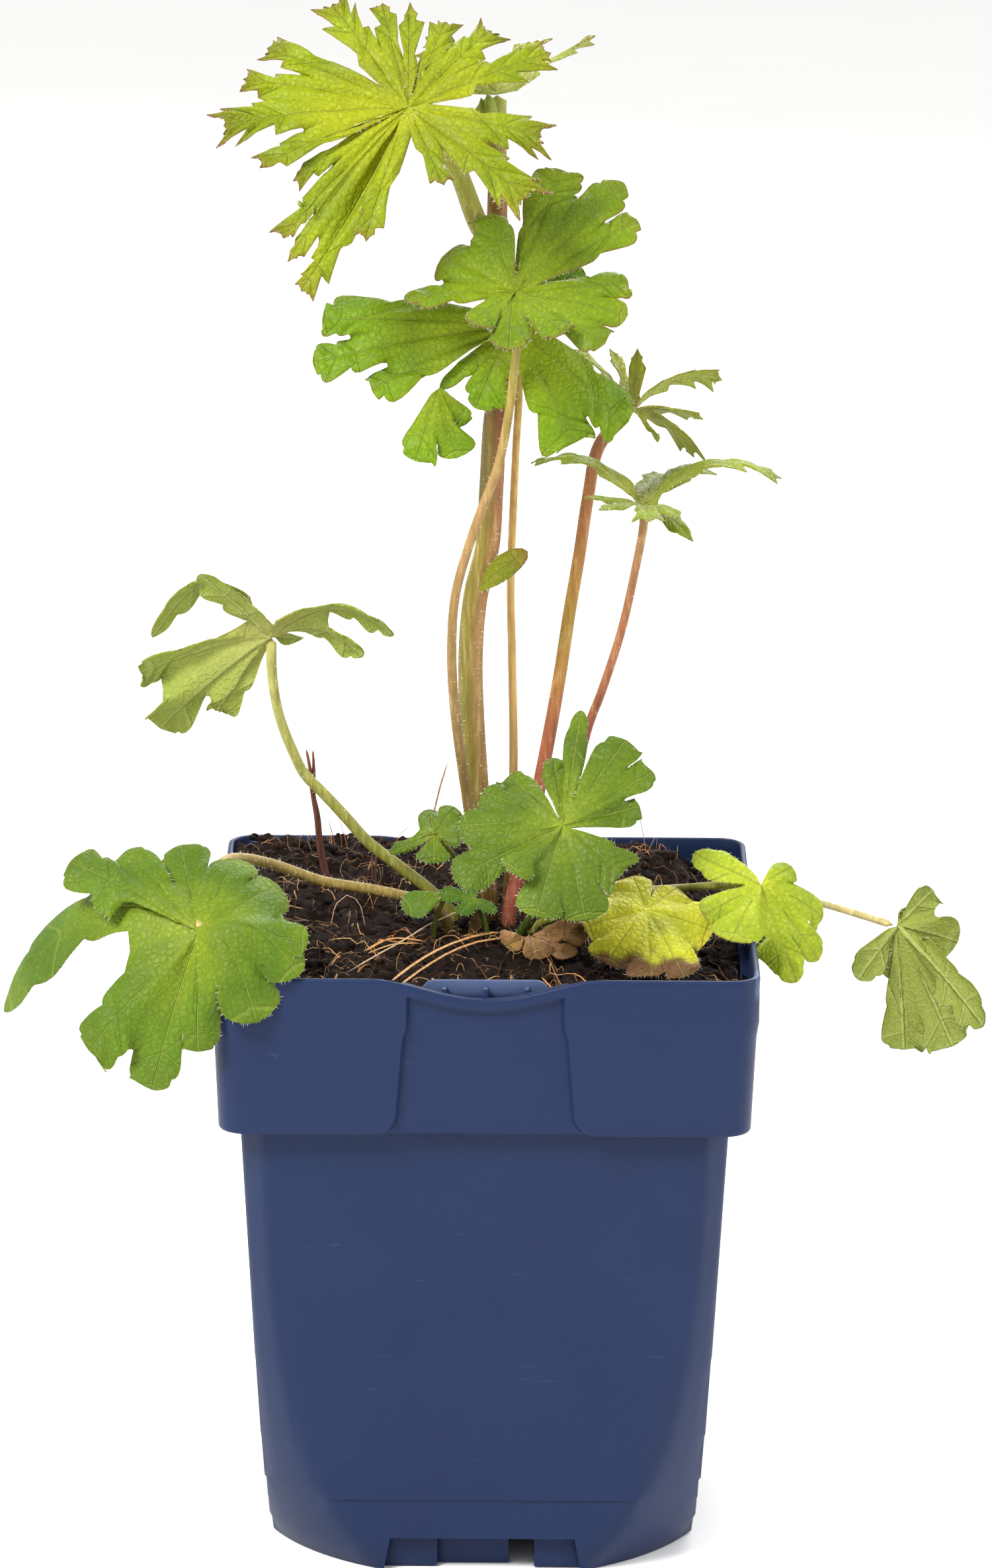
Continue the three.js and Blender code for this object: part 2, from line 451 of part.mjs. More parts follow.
// The pot: body and collar, less the recessed panels, the room inside, the gap under the collar,
// the dips in the rim, the notches between the feet and the drain holes.
function makePot() {
  const heights = [0, 6, SEAM_Z - 0.01];
  const upper = [SEAM_Z, 28, 44, 70, SHOULDER_Z + 0.5];
  const body = loft([...heights, ...upper].map((z) => bodyLayer(z, 0, Math.min(z, SHOULDER_Z))));
  const collar = loft([COLLAR_BOTTOM_Z, POT_HEIGHT - 2, POT_HEIGHT].map((z) => collarLayer(z, z === POT_HEIGHT ? 0.3 : 0)))
    .subtract(onFourSides(recessBlock(RECESS_DEPTH, RECESS_HEIGHTS, 0)));
  const skirtGap = loft([COLLAR_BOTTOM_Z - 2, SHOULDER_Z].map((z) => collarLayer(z, WALL)))
    .subtract(onFourSides(recessBlock(RECESS_DEPTH + WALL, RECESS_HEIGHTS, WALL)))
    .subtract(body);
  const dip = [[-DIP_HALF, POT_HEIGHT + 2], [DIP_HALF, POT_HEIGHT + 2]];
  for (let k = 7; k >= -7; k -= 1) dip.push([DIP_HALF * k / 7, dipHeight(DIP_HALF * k / 7)]);
  const dips = prismAlongY(dip.reverse(), -RIM_HALF - 6, RIM_HALF + 6);
  const notch = [[-NOTCH_HALF, -1], [NOTCH_HALF, -1], [NOTCH_TOP_HALF, FLOOR_UNDER_Z], [-NOTCH_TOP_HALF, FLOOR_UNDER_Z]];
  const notches = prismAlongY(notch, -RIM_HALF, RIM_HALF);
  const underside = loft([-1, FLOOR_UNDER_Z].map((z) => bodyLayer(z, WALL, Math.max(z, 0))));
  let pot = body.add(collar.subtract(skirtGap)).subtract(potRoom(0)).subtract(underside);
  pot = pot.subtract(dips).subtract(dips.rotate([0, 0, 90])).subtract(notches).subtract(notches.rotate([0, 0, 90]));
  const panels = box(-22.4, -10, -45.1, -43.8, 0.3, FLOOR_UNDER_Z + 0.3)
    .add(box(-11.3, -10, -44.5, -41.6, 0.3, FLOOR_UNDER_Z + 0.3))
    .add(prismAlongY([[-10.6, 0.3], [3.4, 0.3], [5.2, 1], [6, 2.8], [6, FLOOR_UNDER_Z + 0.3], [-10.6, FLOOR_UNDER_Z + 0.3]], -42.9, -41.6))
    .add(box(11.6, 22.4, -45.5, -44.2, 0.3, FLOOR_UNDER_Z + 0.3));
  pot = pot.add(onFourSides(panels));
  const tabPoints = [[-TAB_HALF, SHOULDER_Z + 1], [TAB_HALF, SHOULDER_Z + 1]];
  for (let k = 0; k <= 3; k += 1) {
    const angle = k * Math.PI / 6;
    tabPoints.push([TAB_HALF - 3 + 3 * Math.cos(angle), TAB_TOP_Z - 3 + 3 * Math.sin(angle)]);
  }
  for (let k = 3; k >= 0; k -= 1) {
    const angle = k * Math.PI / 6;
    tabPoints.push([-TAB_HALF + 3 - 3 * Math.cos(angle), TAB_TOP_Z - 3 + 3 * Math.sin(angle)]);
  }
  pot = pot.add(prismAlongY(tabPoints, TAB_Y - TAB_THICK / 2, TAB_Y + TAB_THICK / 2));
  for (const x of [-9, 0, 9]) {
    pot = pot.add(box(x - 0.5, x + 0.5, -RIM_HALF + 1.8, TAB_Y, SHOULDER_Z + 1, dipHeight(0) - 1));
  }
  for (const x of [-1, 1]) {
    for (const y of [-1, 1]) {
      const hole = new THREE.CylinderGeometry(DRAIN_RADIUS, DRAIN_RADIUS, 6, 8);
      hole.rotateX(Math.PI / 2);
      hole.translate(x * DRAIN_SPACING, y * DRAIN_SPACING, FLOOR_TOP_Z);
      pot = pot.subtract(solidOf(hole));
    }
  }
  return pot;
}

// Height of the peat's surface: a slope up to the back left, mounds and crumbs.
function soilHeight(x, y) {
  const slope = SOIL_Z + SOIL_SLOPE_X * x + SOIL_SLOPE_Y * y;
  const mound = 1.1 * Math.sin(0.11 * x + 0.6) * Math.cos(0.09 * y - 0.4);
  const crumb = 0.75 * Math.sin(0.47 * x + 0.31 * y) * Math.cos(0.39 * y - 0.23 * x + 1.3);
  const edge = Math.max(Math.abs(x), Math.abs(y)) - 50;
  return slope + mound + crumb - (edge > 0 ? 0.12 * edge : 0);
}

// The peat: a block under a crumbly surface, fitted to the room inside the pot with a little play.
function makeSoil() {
  const size = 2 * RIM_HALF;
  const geometry = new THREE.BoxGeometry(size, size, 1, SOIL_CELLS, SOIL_CELLS, 1);
  const place = geometry.getAttribute('position');
  for (let i = 0; i < place.count; i += 1) {
    const above = place.getZ(i) > 0;
    place.setZ(i, above ? soilHeight(place.getX(i), place.getY(i)) : 4);
  }
  const aroundTab = box(-TAB_HALF - PLAY, TAB_HALF + PLAY, -RIM_HALF, TAB_Y + TAB_THICK / 2 + PLAY, SHOULDER_Z, POT_HEIGHT + 5);
  return solidOf(geometry).intersect(potRoom(PLAY)).subtract(aroundTab);
}

const toVector = ([x, y, z]) => new THREE.Vector3(x, y, z);

// A round stalk following a smooth path through the given points.
function stalkSolid(points, radius, sides = 6) {
  const path = new THREE.CatmullRomCurve3(points.map(toVector), false, 'centripetal');
  const ring = [];
  for (let k = 0; k < sides; k += 1) {
    const angle = 2 * Math.PI * k / sides;
    ring.push(new THREE.Vector2(radius * Math.cos(angle), radius * Math.sin(angle)));
  }
  const steps = Math.max(points.length - 2, 5);
  return solidOf(new THREE.ExtrudeGeometry(new THREE.Shape(ring), { steps, bevelEnabled: false, extrudePath: path }));
}

// The frame of one lobe: the way it reaches, its upper side and how it bows.
function lobeFrame(leaf, [dx, dy, dz, half, arch, twist, web, teeth = leaf.teeth, lift = 0]) {
  const reach = new THREE.Vector3(dx, dy, dz);
  const along = reach.clone().normalize();
  const up = toVector(leaf.face).normalize();
  up.addScaledVector(along, -up.dot(along)).normalize();
  const bow = up.clone().multiplyScalar(arch).add(new THREE.Vector3(0, 0, lift));
  return { reach, along, up, length: reach.length(), half, bow, twist: THREE.MathUtils.degToRad(twist), web, teeth };
}

// A point of the flat lobe outline carried onto the arched, twisted and curled lobe.
function onLobe(leaf, lobe, x, y) {
  const t = x / lobe.length;
  const point = toVector(leaf.centre)
    .addScaledVector(lobe.reach, t)
    .addScaledVector(lobe.bow, 2 * t * (1 - t));
  const tangent = lobe.reach.clone().addScaledVector(lobe.bow, 2 * (1 - 2 * t)).normalize();
  const normal = lobe.up.clone().addScaledVector(tangent, -lobe.up.dot(tangent)).normalize();
  const side = normal.clone().cross(tangent);
  const angle = lobe.twist * Math.min(t, 1);
  const across = side.clone().multiplyScalar(Math.cos(angle)).addScaledVector(normal, Math.sin(angle));
  const out = normal.clone().multiplyScalar(Math.cos(angle)).addScaledVector(side, -Math.sin(angle));
  const share = y / lobe.half;
  point.addScaledVector(across, y).addScaledVector(out, -leaf.curl * share * share * Math.min(1, 2 * t));
  return { point, out };
}

// Half the blade width at a share s of the way from the notch between two lobes to the tip.
function envelope(s, startWidth, half, taper) {
  if (s < WIDEST_AT) return startWidth + (half - startWidth) * Math.sin(Math.PI / 2 * s / WIDEST_AT);
  return half * (1 - ((s - WIDEST_AT) / (1 - WIDEST_AT)) ** taper);
}

// The stations along one side of a lobe: the notch beside the neighbour, then teeth and their
// notches in turn, then the tip.
function sideStations(leaf, lobe, neighbour, sign) {
  const web = sign > 0 ? lobe.web : neighbour.web;
  const spread = lobe.along.angleTo(neighbour.along);
  const joined = web > 0 && spread < 2.2;
  const radius = joined ? web * Math.min(lobe.length, neighbour.length) : 0.14 * lobe.length;
  const turn = joined ? spread / 2 : 0.6;
  const startX = radius * Math.cos(turn);
  const startWidth = radius * Math.sin(turn);
  const first = Math.max(0.25 * startX, startX - RAY_LEAN * startWidth);
  const own = onLobe(leaf, lobe, startX, sign * startWidth);
  const start = { point: own.point, out: own.out, first };
  if (joined) {
    const other = onLobe(leaf, neighbour, startX, -sign * startWidth);
    const towards = neighbour.along.clone().sub(lobe.along).normalize();
    start.point = own.point.clone().add(other.point).multiplyScalar(0.5).addScaledVector(towards, leaf.lap ?? 0);
    start.out = own.out.clone().add(other.out).normalize();
  }
  return { start, startX, startWidth };
}

// One lobe as a thin closed solid with toothed edges.
function lobeSolid(leaf, lobes, index) {
  const lobe = lobes[index];
  const next = lobes[(index + 1) % lobes.length];
  const previous = lobes[(index + lobes.length - 1) % lobes.length];
  const sides = [sideStations(leaf, lobe, next, 1), sideStations(leaf, lobe, previous, -1)];
  const first = Math.max(sides[0].start.first, sides[1].start.first);
  const tooth = 1 / (lobe.teeth + 0.45);
  const shares = [0];
  for (let k = 0; k < lobe.teeth; k += 1) shares.push((k + 0.62) * tooth, (k + 1) * tooth);
  const middle = [{ point: toVector(leaf.centre), out: toVector(leaf.face).normalize() }];
  const edges = [[middle[0]], [middle[0]]];
  shares.forEach((s, k) => {
    const x = first + (lobe.length - first) * s;
    middle.push(onLobe(leaf, lobe, x, 0));
    sides.forEach((side, which) => {
      if (k === 0) {
        edges[which].push(side.start);
        return;
      }
      const deep = leaf.depth * (k === 2 * Math.ceil(lobe.teeth / 2) ? 1.25 : 0.8);
      const cut = k % 2 === 0 ? 1 - deep : 1;
      const y = envelope(s, side.startWidth, lobe.half, leaf.taper ?? ROUND_TAPER) * cut;
      const lean = RAY_LEAN - RAY_LEAN_LOSS * s;
      const shift = (side.startX - first - RAY_LEAN * side.startWidth) * (1 - s) ** 2;
      edges[which].push(onLobe(leaf, lobe, x + lean * y + shift, (which === 0 ? 1 : -1) * y));
    });
  });
  const tip = onLobe(leaf, lobe, lobe.length, 0);
  middle.push(tip);
  edges[0].push(tip);
  edges[1].push(tip);
  const positions = [];
  const added = new Map();
  const vertex = (spot, top) => {
    if (!added.has(spot)) {
      added.set(spot, positions.length / 3);
      for (const offset of [BLADE / 2, -BLADE / 2]) {
        const at = spot.point.clone().addScaledVector(spot.out, offset);
        positions.push(at.x, at.y, at.z);
      }
    }
    return added.get(spot) + (top ? 0 : 1);
  };
  const faces = [];
  const sheet = (a, b, c) => {
    if (a === b || b === c || a === c) return;
    faces.push(vertex(a, true), vertex(b, true), vertex(c, true));
    faces.push(vertex(c, false), vertex(b, false), vertex(a, false));
  };
  const rim = (a, b, back) => {
    const middleEdge = back ? vertex(a, false) : vertex(b, false);
    faces.push(vertex(a, true), vertex(b, true), middleEdge);
    faces.push(back ? vertex(b, true) : vertex(a, true), vertex(b, false), vertex(a, false));
  };
  for (let k = 0; k + 1 < middle.length; k += 1) {
    sheet(middle[k], middle[k + 1], edges[0][k + 1]);
    sheet(middle[k], edges[0][k + 1], edges[0][k]);
    sheet(middle[k], edges[1][k + 1], middle[k + 1]);
    sheet(middle[k], edges[1][k], edges[1][k + 1]);
    rim(edges[0][k], edges[0][k + 1], false);
    rim(edges[1][k + 1], edges[1][k], true);
  }
  const geometry = new THREE.BufferGeometry();
  geometry.setAttribute('position', new THREE.Float32BufferAttribute(positions, 3));
  geometry.setIndex(faces);
  return solidOf(geometry);
}

// A whole leaf: its lobes, the knob where they meet and its stalk.
function leafSolid(leaf) {
  const lobes = leaf.lobes.map((row) => lobeFrame(leaf, row));
  const knob = new THREE.SphereGeometry(Math.max(HUB_RADIUS, leaf.stalkRadius ?? 0), 6, 4);
  knob.translate(...leaf.centre);
  let solid = solidOf(knob);
  lobes.forEach((lobe, index) => {
    solid = solid.add(lobeSolid(leaf, lobes, index));
  });
  for (const blade of leaf.blades ?? []) solid = solid.add(leafSolid({ ...blade, stalkRadius: 0.5 }));
  return leaf.stalk ? solid.add(stalkSolid(leaf.stalk, leaf.stalkRadius)) : solid;
}

const plant = new THREE.Group();
plant.name = 'potted_delphinium';
plant.add(meshOf(makePot(), 'pot', 'pot'));

const { leaf_top: topLeaf, leaf_behind_top: behindLeaf, ...standing } = LEAVES;
const bud = new THREE.SphereGeometry(BUD.radius, 6, 5);
bud.scale(1, 1, BUD.height / BUD.radius);
bud.translate(...BUD.centre);
const stem = stalkSolid(STEM_PATH, STEM_RADIUS, 9)
  .add(leafSolid(topLeaf))
  .add(leafSolid(behindLeaf))
  .add(leafSolid({ ...BRACT, stalkRadius: 0.5 }))
  .add(solidOf(bud));
const twig = TWIG_FORKS.reduce((solid, fork) => solid.add(stalkSolid(fork, 0.55, 5)), stalkSolid(TWIG_PATH, TWIG_RADIUS, 6));

let soil = makeSoil();
const holes = [[STEM_PATH, STEM_RADIUS], [TWIG_PATH, TWIG_RADIUS]];
for (const leaf of Object.values(standing)) {
  if (leaf.stalk) holes.push([leaf.stalk, leaf.stalkRadius]);
}
for (const [path, radius] of holes) {
  const foot = [path[0][0], path[0][1], path[0][2] - PLAY];
  const wide = (radius + HOLE_PLAY) / Math.cos(Math.PI / HOLE_SIDES);
  soil = soil.subtract(stalkSolid([foot, ...path.slice(1)], wide, HOLE_SIDES));
}
plant.add(meshOf(soil, 'soil', 'soil'));
plant.add(meshOf(stem, 'leafy_stem', 'stem'));
plant.add(meshOf(twig, 'dry_twig', 'dry'));
for (const [name, leaf] of Object.entries(standing)) plant.add(meshOf(leafSolid(leaf), name, leaf.look));

export default plant;
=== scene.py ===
import math
import random

import bmesh
import bpy
from mathutils import Matrix, Vector, noise
from mathutils.geometry import interpolate_bezier


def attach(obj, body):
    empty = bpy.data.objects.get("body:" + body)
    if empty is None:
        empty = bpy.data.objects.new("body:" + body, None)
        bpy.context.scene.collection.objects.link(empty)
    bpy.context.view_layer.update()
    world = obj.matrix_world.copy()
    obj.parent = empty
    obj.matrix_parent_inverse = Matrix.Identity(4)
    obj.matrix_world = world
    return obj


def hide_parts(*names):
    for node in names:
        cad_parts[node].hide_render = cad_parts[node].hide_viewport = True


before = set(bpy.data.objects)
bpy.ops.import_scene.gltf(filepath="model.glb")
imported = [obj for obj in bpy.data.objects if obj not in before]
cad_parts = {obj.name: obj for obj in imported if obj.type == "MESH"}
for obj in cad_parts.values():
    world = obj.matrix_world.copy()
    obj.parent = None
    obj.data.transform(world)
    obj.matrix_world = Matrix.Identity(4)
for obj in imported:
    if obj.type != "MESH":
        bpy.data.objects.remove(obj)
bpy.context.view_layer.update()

# The pot: a square nursery pot, moulded in one from dark blue polypropylene. A collar hangs outside
# the tapered body like a skirt, with a recessed panel and a dip in the rim on each side, and a label
# tab stands inside the front rim. Sizes are in millimetres, and a half is measured from the middle.
MM = 0.001
POT_HEIGHT = 141.2
RIM_HALF = 60.0
COLLAR_BOTTOM_HALF = 58.4
COLLAR_BOTTOM = 105.2
COLLAR_FILLET = 6.5
COLLAR_LEVEL = COLLAR_BOTTOM + 22
SHOULDER = 123.2
BODY_FOOT_HALF = 47.9
BODY_SEAM_HALF = 49.06
BODY_SHOULDER_HALF = 54.77
BODY_FILLET = 6.0
CORNER_ROUND_FOOT = 52.0
CORNER_ROUND_GROWTH = 22.0
CORNER_ROUND_RISE = 40.0
SEAM = 17.2
SEAM_STEP = 0.4
WALL = 1.4
FLOOR_UNDER = 7.9
FLOOR_TOP = 9.4
DIP_DEPTH = 4.5
DIP_HALF = 24.0
BEAD = 2.7
RECESS_DEPTH = 1.4
RECESS_TOP_HALF = 16.5
RECESS_BOTTOM_HALF = 19.0
RECESS_CORNER = 5.0
NOTCH_HALF = 22.0
NOTCH_TOP_HALF = 20.6
DRAIN_PLACE = 26.0
DRAIN_RADIUS = 1.8
FOOT_RIB_BOTTOM = 0.3
FOOT_RIBS = (((-22.4, -45.1), (-10, -43.8)), ((-11.3, -44.5), (-10, -41.6)),
             ((-10.6, -42.9), (6, -41.6)), ((11.6, -45.5), (22.4, -44.2)))
TAB_Y = -54.0
TAB_HALF = 14.0
TAB_THICK = 1.2
TAB_FOOT = SHOULDER + 1
TAB_TOP = 139.6
TAB_CORNER = 3.0
TAB_RIBS = (-9, 0, 9)
TAB_RIB_HALF = 0.5
TAB_RIB_REACH = 3.3


def paint(code):
    """A colour written as six hexadecimal digits, as linear light with full alpha."""
    parts = [int(code[k:k + 2], 16) / 255 for k in (0, 2, 4)]
    return tuple(p / 12.92 if p <= 0.04045 else ((p + 0.055) / 1.055) ** 2.4 for p in parts) + (1.0,)


class Value:
    """A number inside a material; arithmetic on it adds Math nodes."""

    def __init__(self, finish, socket):
        self.finish, self.socket = finish, socket

    def maths(self, operation, *numbers):
        """A Math node working on values or plain numbers."""
        return self.finish.node('ShaderNodeMath', {'operation': operation}, dict(enumerate(numbers)))

    def __add__(self, other):
        return self.maths('ADD', self, other)

    def __sub__(self, other):
        return self.maths('SUBTRACT', self, other)

    def __rsub__(self, other):
        return self.maths('SUBTRACT', other, self)

    def __mul__(self, other):
        return self.maths('MULTIPLY', self, other)

    __radd__ = __add__
    __rmul__ = __mul__

    def out(self, name):
        """Another output of the same node."""
        return Value(self.finish, self.socket.node.outputs[name])


class Finish:
    """A material while it is mixed; settings of its main shader are given by name."""

    def __init__(self, name, **settings):
        self.material = bpy.data.materials.new(name)
        self.material.use_nodes = True
        self.tree = self.material.node_tree
        self.shader = self.tree.nodes['Principled BSDF']
        for socket, setting in settings.items():
            self.shader.inputs[socket.replace('_', ' ')].default_value = setting

    def node(self, kind, settings, sockets, output=0):
        """Any node: its settings are set first, then the values or links of its sockets."""
        node = self.tree.nodes.new(kind)
        for key, setting in settings.items():
            setattr(node, key, setting)
        for key, entry in sockets.items():
            if isinstance(entry, Value):
                self.tree.links.new(entry.socket, node.inputs[key])
            else:
                node.inputs[key].default_value = entry
        return Value(self, node.outputs[output])

    def place(self, stretch=(1, 1, 1)):
        """Object coordinates, scaled along each axis."""
        spot = self.node('ShaderNodeTexCoord', {}, {}, 'Object')
        return self.node('ShaderNodeMapping', {}, {'Vector': spot, 'Scale': stretch})

    def own(self, name, output='Color'):
        """A value that the mesh carries at each of its points."""
        return self.node('ShaderNodeAttribute', {'attribute_name': name}, {}, output)

    def noise(self, size, detail=4.0, stretch=(1, 1, 1), rough=0.55):
        """Noise from 0 to 1 whose blotches are about the given size in millimetres."""
        sockets = {'Vector': self.place(stretch), 'Scale': 1 / (size * MM)}
        sockets.update({'Detail': detail, 'Roughness': rough})
        return self.node('ShaderNodeTexNoise', {}, sockets)

    def ease(self, value, low, high, start=0.0, end=1.0):
        """A smooth change from start to end while the value goes from low to high."""
        sockets = {'Value': value, 'From Min': low, 'From Max': high, 'To Min': start, 'To Max': end}
        return self.node('ShaderNodeMapRange', {'interpolation_type': 'SMOOTHSTEP'}, sockets)

    def blend(self, share, first, second, kind='MIX'):
        """Two colours mixed by a share."""
        settings = {'data_type': 'RGBA', 'blend_type': kind}
        return self.node('ShaderNodeMix', settings, {0: share, 6: first, 7: second}, 2)

    def relief(self, height, depth):
        """A bump of the given depth in millimetres."""
        return self.node('ShaderNodeBump', {}, {'Height': height, 'Distance': depth * MM, 'Strength': 1.0})

    def coat(self, **links):
        """Links values to the main shader's sockets and hands back the material."""
        for socket, entry in links.items():
            self.tree.links.new(entry.socket, self.shader.inputs[socket.replace('_', ' ')])
        return self.material


def smoothstep(low, high, value):
    """A smooth rise from 0 to 1 while the value goes from low to high."""
    share = min(max((value - low) / (high - low), 0.0), 1.0)
    return share * share * (3 - 2 * share)


def dip_height(x):
    """Height of the rim along one side, with the dip in its middle."""
    if abs(x) > DIP_HALF:
        return POT_HEIGHT
    return POT_HEIGHT - DIP_DEPTH * math.cos(math.pi * x / (2 * DIP_HALF)) ** 1.5


def body_half(z):
    """Half the width of the body, which is a little narrower under the seam."""
    if z < SEAM:
        return BODY_FOOT_HALF + (BODY_SEAM_HALF - SEAM_STEP - BODY_FOOT_HALF) * z / SEAM
    return BODY_SEAM_HALF + (BODY_SHOULDER_HALF - BODY_SEAM_HALF) * (z - SEAM) / (SHOULDER - SEAM)


def collar_half(z):
    """Half the width of the collar."""
    rise = (z - COLLAR_BOTTOM) / (POT_HEIGHT - COLLAR_BOTTOM)
    return COLLAR_BOTTOM_HALF + (RIM_HALF - COLLAR_BOTTOM_HALF) * rise


def recess_half(z):
    """Half the width of the recessed panel, which flares out in a round at its lower corners."""
    lift = COLLAR_BOTTOM + RECESS_CORNER
    if z < lift:
        drop = min(lift - z, RECESS_CORNER)
        return RECESS_BOTTOM_HALF + RECESS_CORNER - math.sqrt(RECESS_CORNER ** 2 - drop ** 2)
    return RECESS_BOTTOM_HALF + (RECESS_TOP_HALF - RECESS_BOTTOM_HALF) * (z - lift) / (POT_HEIGHT - lift)


def side_stations(edge, corner):
    """Places along one side, close together at the edge of the panel and round the corner."""
    inner, outer = edge - 0.8, edge + 0.9
    panel_steps, corner_steps = 8, 18
    half = [inner * k / panel_steps for k in range(panel_steps + 1)]
    half += [edge - 0.3, edge - 0.05, edge, edge + 0.15, edge + 0.55]
    for k in range(corner_steps + 1):
        half.append(outer + (corner - outer) * math.sin(math.pi / 2 * k / corner_steps))
    return [-s for s in half[:0:-1]] + half[:-1]


def pot_ring(skin, inset, z=None, drop=None, share=None, recess=0.0, grow=0.0):
    """One ring of the moulding, as points round the four sides: level, or below the dipped rim."""
    level = POT_HEIGHT - drop if z is None else z
    if skin == 'body':
        half, fillet = body_half(min(level, SHOULDER)) - inset, BODY_FILLET - inset
        radius = CORNER_ROUND_FOOT - inset
        radius += CORNER_ROUND_GROWTH * (1 - math.exp(-max(level, 0) / CORNER_ROUND_RISE))
        up_notch = min(max(level, 0) / FLOOR_UNDER, 1)
        edge = NOTCH_HALF + (NOTCH_TOP_HALF - NOTCH_HALF) * up_notch
    else:
        half, fillet, radius = collar_half(level) - inset, COLLAR_FILLET - inset, 3 * RIM_HALF
        edge = recess_half(level) + grow
    corner = min(half - fillet + fillet / math.sqrt(2), radius / math.sqrt(2))
    points = []
    for side in range(4):
        for s in side_stations(edge, corner):
            reach = min(half, math.sqrt(radius ** 2 - s * s))
            over = abs(s) - (half - fillet)
            if over > 0:
                reach = min(reach, half - fillet + math.sqrt(max(fillet ** 2 - over ** 2, 0)))
            reach -= RECESS_DEPTH * recess * (1 - smoothstep(-0.3, 0.55, abs(s) - edge))
            height = level
            if drop is not None:
                height = dip_height(s) - drop
                if share is not None:
                    height = COLLAR_LEVEL + (height - COLLAR_LEVEL) * share
            elif skin == 'body' and abs(s) < edge - 0.02:
                height = max(height, FLOOR_UNDER)
            turn = math.pi / 2 * side
            points.append(Vector((s * math.cos(turn) + reach * math.sin(turn),
                                  s * math.sin(turn) - reach * math.cos(turn), height)) * MM)
    return points


def rings_to_skin(bm, rings):
    """A skin through rings with the same number of points, by extruding one into the next."""
    first = bmesh.ops.create_circle(bm, segments=len(rings[0]), radius=1)['verts']
    for vert, spot in zip(first, rings[0]):
        vert.co = spot
    edges = list({edge for vert in first for edge in vert.link_edges})
    last = list(first)
    for ring in rings[1:]:
        where = {vert: spot for vert, spot in zip(last, ring)}
        made = bmesh.ops.extrude_edge_only(bm, edges=edges)['geom']
        edges = [g for g in made if isinstance(g, bmesh.types.BMEdge)]
        risen = []
        for vert in last:
            rises = [e for e in vert.link_edges if e not in edges]
            up = next(e.other_vert(vert) for e in rises if e.other_vert(vert) in made)
            up.co = where[vert]
            risen.append(up)
        last = risen
    return first, last


def piece_from(bm, name, materials, nodes, sharp=38):
    """The finished mesh as an object that stands for its CAD nodes."""
    for edge in bm.edges:
        edge.smooth = len(edge.link_faces) != 2 or edge.calc_face_angle(0) < math.radians(sharp)
    for face in bm.faces:
        face.smooth = True
    mesh = bpy.data.meshes.new(name)
    bm.to_mesh(mesh)
    bm.free()
    for material in materials:
        mesh.materials.append(material)
    piece = bpy.data.objects.new(name, mesh)
    bpy.context.collection.objects.link(piece)
    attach(piece, 'root')
    if nodes:
        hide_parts(*nodes)
    return piece


def loop_edges(loop):
    """The edges that join neighbours in a closed loop of vertices."""
    return [e for e in {e for v in loop for e in v.link_edges} if all(v in loop for v in e.verts)]


def block_place(low, high, turn=0.0):
    """The place of a unit cube stretched between two corners and turned about the pot's middle."""
    size = (Vector(high) - Vector(low)) * MM
    middle = (Vector(high) + Vector(low)) / 2 * MM
    return Matrix.Rotation(turn, 4, 'Z') @ Matrix.Translation(middle) @ Matrix.Diagonal((*size, 1))


def soften(bm, edges, width, steps):
    """Rounds edges by a bevel of the given width in millimetres."""
    return bmesh.ops.bevel(bm, geom=edges, offset=width * MM, affect='EDGES', segments=steps, profile=0.5,
                           material=-1)


def rounded_block(bm, low, high, radius=0.25, turn=0.0):
    """A small moulded wall with softened edges."""
    block = bmesh.ops.create_cube(bm, size=1, matrix=block_place(low, high, turn))['verts']
    soften(bm, list({edge for vert in block for edge in vert.link_edges}), radius, 2)


pot = bmesh.new()
# The outside of the body, from the inner edge of the notched foot up to the shoulder.
foot = ((WALL, FLOOR_UNDER), (WALL, 0.5), (WALL - 0.25, 0.1), (0.3, 0.0), (0, 0.4), (0, 6))
body_levels = (FLOOR_UNDER + 0.01, 12, SEAM - 0.01, SEAM + 0.15, 19, 30, 50, 75, 100, 106, SHOULDER - 0.3)
rings = [pot_ring('body', inset, z) for inset, z in foot]
rings += [pot_ring('body', 0, z) for z in body_levels]
# The collar: down its inner skin, round its lower edge and up to where the rings begin to dip.
rings += [pot_ring('collar', WALL, z, recess=1) for z in (SHOULDER, 112, COLLAR_BOTTOM + 0.5)]
lower_edge = ((1.15, 0.1), (0.7, 0), (0.25, 0.1), (0, 0.5))
rings += [pot_ring('collar', inset, COLLAR_BOTTOM + rise, recess=1) for inset, rise in lower_edge]
collar_levels = (106.4, 107.3, 108.4, 109.6, 111, 114, 118, 123, COLLAR_LEVEL)
rings += [pot_ring('collar', 0, z, recess=1) for z in collar_levels]
rings += [pot_ring('collar', 0, drop=BEAD, share=share, recess=1) for share in (0.3, 0.6, 0.85)]
# The bead, which is proud of the recessed panel, and the rounded rim.
bead = ((0.5, 1), (0.2, 0.9), (0, 0.5), (-0.15, 0.12), (-0.5, 0))
rings += [pot_ring('collar', 0, drop=BEAD + below, recess=deep) for below, deep in bead]
rim_outside = ((0, 1.1), (0.06, 0.55), (0.25, 0.18), (0.6, 0))
rings += [pot_ring('collar', inset, drop=drop) for inset, drop in rim_outside]
rim_inside = ((WALL - 0.45, 0), (WALL - 0.15, 0.15), (WALL, 0.5), (WALL, 3))
rings += [pot_ring('collar', inset, drop=drop, recess=1, grow=WALL) for inset, drop in rim_inside]
